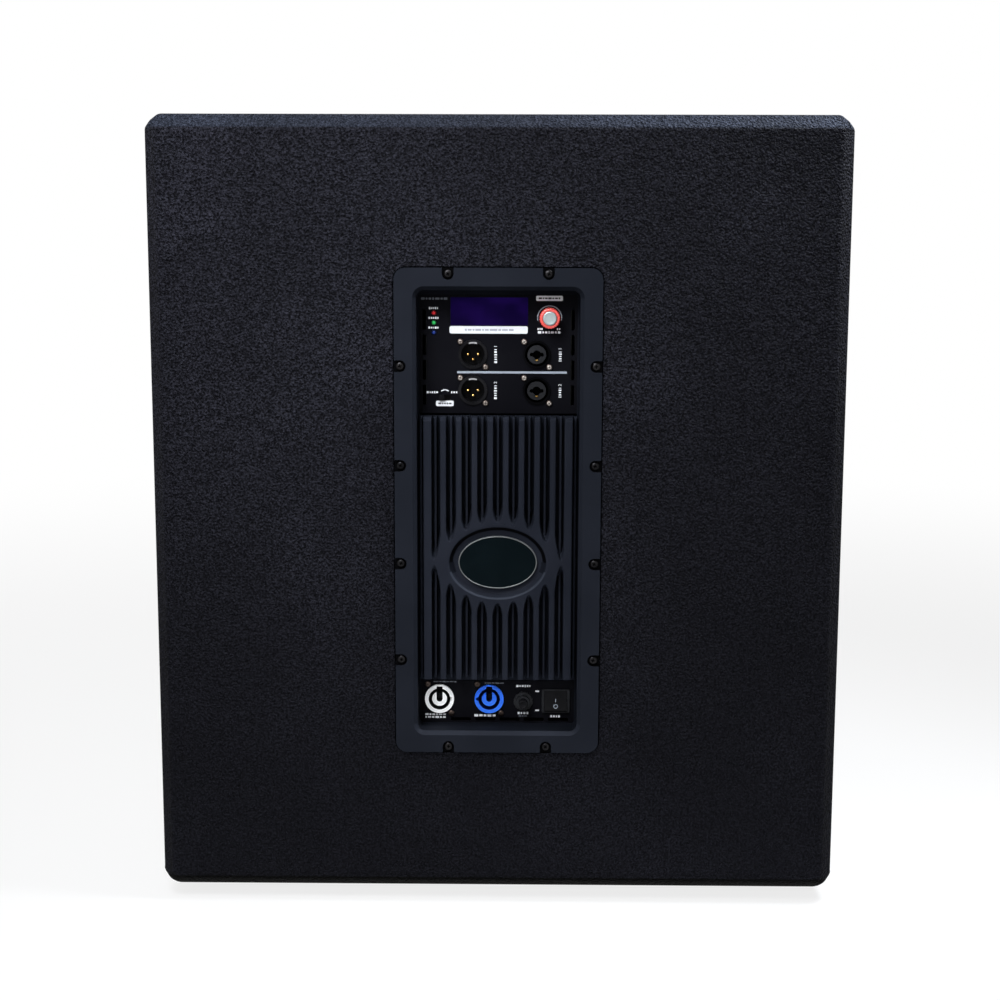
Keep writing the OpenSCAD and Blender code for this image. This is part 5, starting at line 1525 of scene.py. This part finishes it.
def rockerMarks(form):
    turn = Matrix.Rotation(form["tilt"], 3, "X")
    pivot = onRear(*rocker, panelOut + form["pivotOut"])

    def onKey(shape, lift):
        spots = []
        for u, v in shape:
            up = v - form["foldUp"]
            out = form["foldOut"] + abs(up) / form["above" if up > 0 else "below"] * form["rise"] + lift
            spots.append(pivot + turn @ Vector((u * mm, -out * mm, v * mm)))
        return spots

    shapes = [roundedBox(0, form["iUp"], *form["I"], 0.2, 2)]
    shapes += [arcOutline((0, form["oUp"]), *form["O"], start, start + 90, 8) for start in range(0, 360, 90)]
    parts = [ringLoft([onKey(shape, -form["thick"]), onKey(shape, form["thick"])]) for shape in shapes]
    return addSolid("rockerMarks", parts, "greyInk", "power_rocker")
rockerMarks(rockerForm)

# Studio: pale floor that keeps the shadow, white surroundings, one key lamp and soft fill

studio = {
    "floorSize": 24.0,
    "floorColour": (0.90, 0.90, 0.91),
    "floorPatches": 0.985,      # how dark its darker patches are
    "floorGlow": 0.80,          # how much of the near floor the camera sees as plain white
    "glowFromTo": (0.6, 2.6),   # how far away that share starts to grow, and is whole
    "worldLight": 0.19,
    "lamps": {
        # name: (place, aim, width, height, watts, colour, spread in degrees)
        "key": ((-0.30, -0.86, 1.02), (-0.20, -0.30, 0.50), 0.40, 0.35, 3.0, (0.95, 0.97, 1.0), 90),
        "top": ((0.50, -0.28, 1.00), (0.26, -0.28, 0.6), 0.4, 0.3, 6.5, (0.90, 0.95, 1.0), 110),
        "front": ((-0.7, -2.5, 1.3), (-0.1, -0.3, 0.35), 1.4, 1.1, 13.0, (1.0, 1.0, 1.0), 180),
        "back": ((-0.6, 2.6, 1.6), (0.0, 0.3, 0.35), 1.6, 1.2, 22.0, (1.0, 1.0, 1.0), 180),
    },
}


def seenOrMirrored(wire):
    # one where the camera looks, a mirror reflects or glass lets through
    seen, mirrored, through = [wire.node("ShaderNodeLightPath", output=kind) for kind in (
        "Is Camera Ray", "Is Glossy Ray", "Is Transmission Ray")]
    return (seen + mirrored + through).least(1.0)


def makeStudio(form):
    world = bpy.data.worlds.new("whiteRoom")
    world.use_nodes = True
    tree = world.node_tree
    tree.nodes.clear()
    wire = Wire(tree)
    room = wire.node("ShaderNodeBackground", {}, {"Color": (1, 1, 1, 1), "Strength": form["worldLight"]})
    seen = wire.node("ShaderNodeBackground", {}, {"Color": (1, 1, 1, 1), "Strength": 1.0})
    mixed = wire.node("ShaderNodeMixShader", {}, {0: seenOrMirrored(wire), 1: room, 2: seen})
    output = tree.nodes.new("ShaderNodeOutputWorld")
    tree.links.new(mixed.socket, output.inputs["Surface"])
    bpy.context.scene.world = world

    made, shader, place = newMaterial("paleFloor", roughness=0.7, specular=0.1)
    pale = form["floorColour"]
    patches = place.noise(3.0, 3.0).ramp(0.3, 0.7)
    feed(shader, patches.blend([form["floorPatches"] * c for c in pale], pale), "Base Color")
    glow = place.node("ShaderNodeEmission", {}, {"Color": (1, 1, 1, 1), "Strength": 1.0})
    lit = Wire(made.node_tree, shader.outputs[0])
    far = place.node("ShaderNodeVectorMath", {"operation": "LENGTH"}, {0: place}, 1)
    share = far.ramp(*form["glowFromTo"], form["floorGlow"], 1.0)
    mixed = place.node("ShaderNodeMixShader", {}, {0: seenOrMirrored(place) * share, 1: lit, 2: glow})
    made.node_tree.links.new(mixed.socket, made.node_tree.nodes["Material Output"].inputs["Surface"])
    h = form["floorSize"] / 2
    mesh = meshFrom("paleFloor", [(-h, -h, 0), (h, -h, 0), (h, h, 0), (-h, h, 0)], [[0, 1, 2, 3]])
    mesh.materials.append(made)
    linked("paleFloor", mesh)

    for name, (place, aim, width, height, watts, colour, spread) in form["lamps"].items():
        lamp = bpy.data.lights.new(name + "Lamp", "AREA")
        lamp.shape, lamp.size, lamp.size_y = "RECTANGLE", width, height
        lamp.energy, lamp.color, lamp.spread = watts, colour, math.radians(spread)
        holder = linked(name + "Lamp", lamp)
        holder.location = place
        holder.rotation_euler = (Vector(aim) - Vector(place)).to_track_quat("-Z", "Y").to_euler()
        holder.visible_camera = False


makeStudio(studio)
bpy.context.scene.view_settings.view_transform = "Standard"
print("studio lit with", len(studio["lamps"]), "lamps")

# How true the image points are of the finished model

bpy.context.view_layer.update()
depsgraph = bpy.context.evaluated_depsgraph_get()


def showing(point):
    away = Vector(point) - cameraSpot
    hit = bpy.context.scene.ray_cast(depsgraph, cameraSpot, away.normalized(), distance=away.length - 0.0006)
    return not hit[0]


def extremes(piece, coordinate, sign, keep=None):
    # the furthest vertex that shows, to one side of the picture
    spots = sorted(
        ((toPixel(v.co), v.co) for v in piece.data.vertices if keep is None or keep(v.co)),
        key=lambda s: -sign * s[0][coordinate])
    for pixel, place in spots[:4000]:
        if showing(place):
            return pixel[coordinate]
    return None


def middleOf(piece, keep=None):
    pair = []
    for coordinate in (0, 1):
        ends = [extremes(piece, coordinate, sign, keep) for sign in (-1, 1)]
        pair.append(None if None in ends else sum(ends) / 2)
    return tuple(pair)


def within(spot, reach, above=-99):
    def inside(place):
        x, y, out = fromRear(place)
        return math.dist((x, y), spot) < reach and out > above
    return inside


def inBand(spot, halfWidth, halfHeight):
    def inside(place):
        x, y, out = fromRear(place)
        return abs(x - spot[0]) < halfWidth and abs(y - spot[1]) < halfHeight
    return inside


named = {obj.name: obj for obj in bpy.data.objects}
marks = named["marksWhiteInk"]
shown = {
    "cabinetLeft": (extremes(cabinetCoat, 0, -1), None),
    "cabinetRight": (extremes(cabinetCoat, 0, 1), None),
    "cabinetTop": (None, extremes(cabinetCoat, 1, -1)),
    "cabinetBottom": (None, extremes(cabinetCoat, 1, 1)),
    "badge": middleOf(badgeRim),
    "display": middleOf(nodes["display_window"]),
    "knob": middleOf(knobRing),
    "upperOutput": middleOf(soft["audio_outputs"], within(looseCentres("audio_outputs")[0], 12)),
    "whiteConnector": middleOf(soft["mains_outlet"], within(outlet, 11.8, panelOut)),
    "blueConnector": middleOf(soft["mains_inlet"], within(inlet, 11.8, panelOut)),
    "rocker": middleOf(soft["rocker_bezel"]),
    "labelStrip": middleOf(marks, inBand(strip, 31, 3.2)),
    "silverLine": middleOf(named["marksGreyInk"], inBand(line, 99, 1.2)),
    "outputMark": middleOf(marks, within(onPanel("outputMark"), 9)),
    "inputMark": middleOf(marks, within(onPanel("inputMark"), 8)),
    "groundLabel": middleOf(marks, within(groundLabel, 7.4)),
}
cornerOut = 1.3         # where the frame's straight edges would meet, as the points were read
for (upper, sy), (side, sx) in product((("Top", 1), ("Bottom", -1)), (("Left", -1), ("Right", 1))):
    w, h = (plateHigh.x - plateLow.x) / mm, (plateHigh.z - plateLow.z) / mm
    edge = onRear(sx * w / 2, sy * h / 2, cornerOut)
    shown["frame" + upper + side] = toPixel(edge)
offsets = {
    name: [None if a is None or b is None else round(b - a, 1) for a, b in zip(imagePoints[name], pixel)]
    for name, pixel in shown.items()}
print("image points:", offsets)
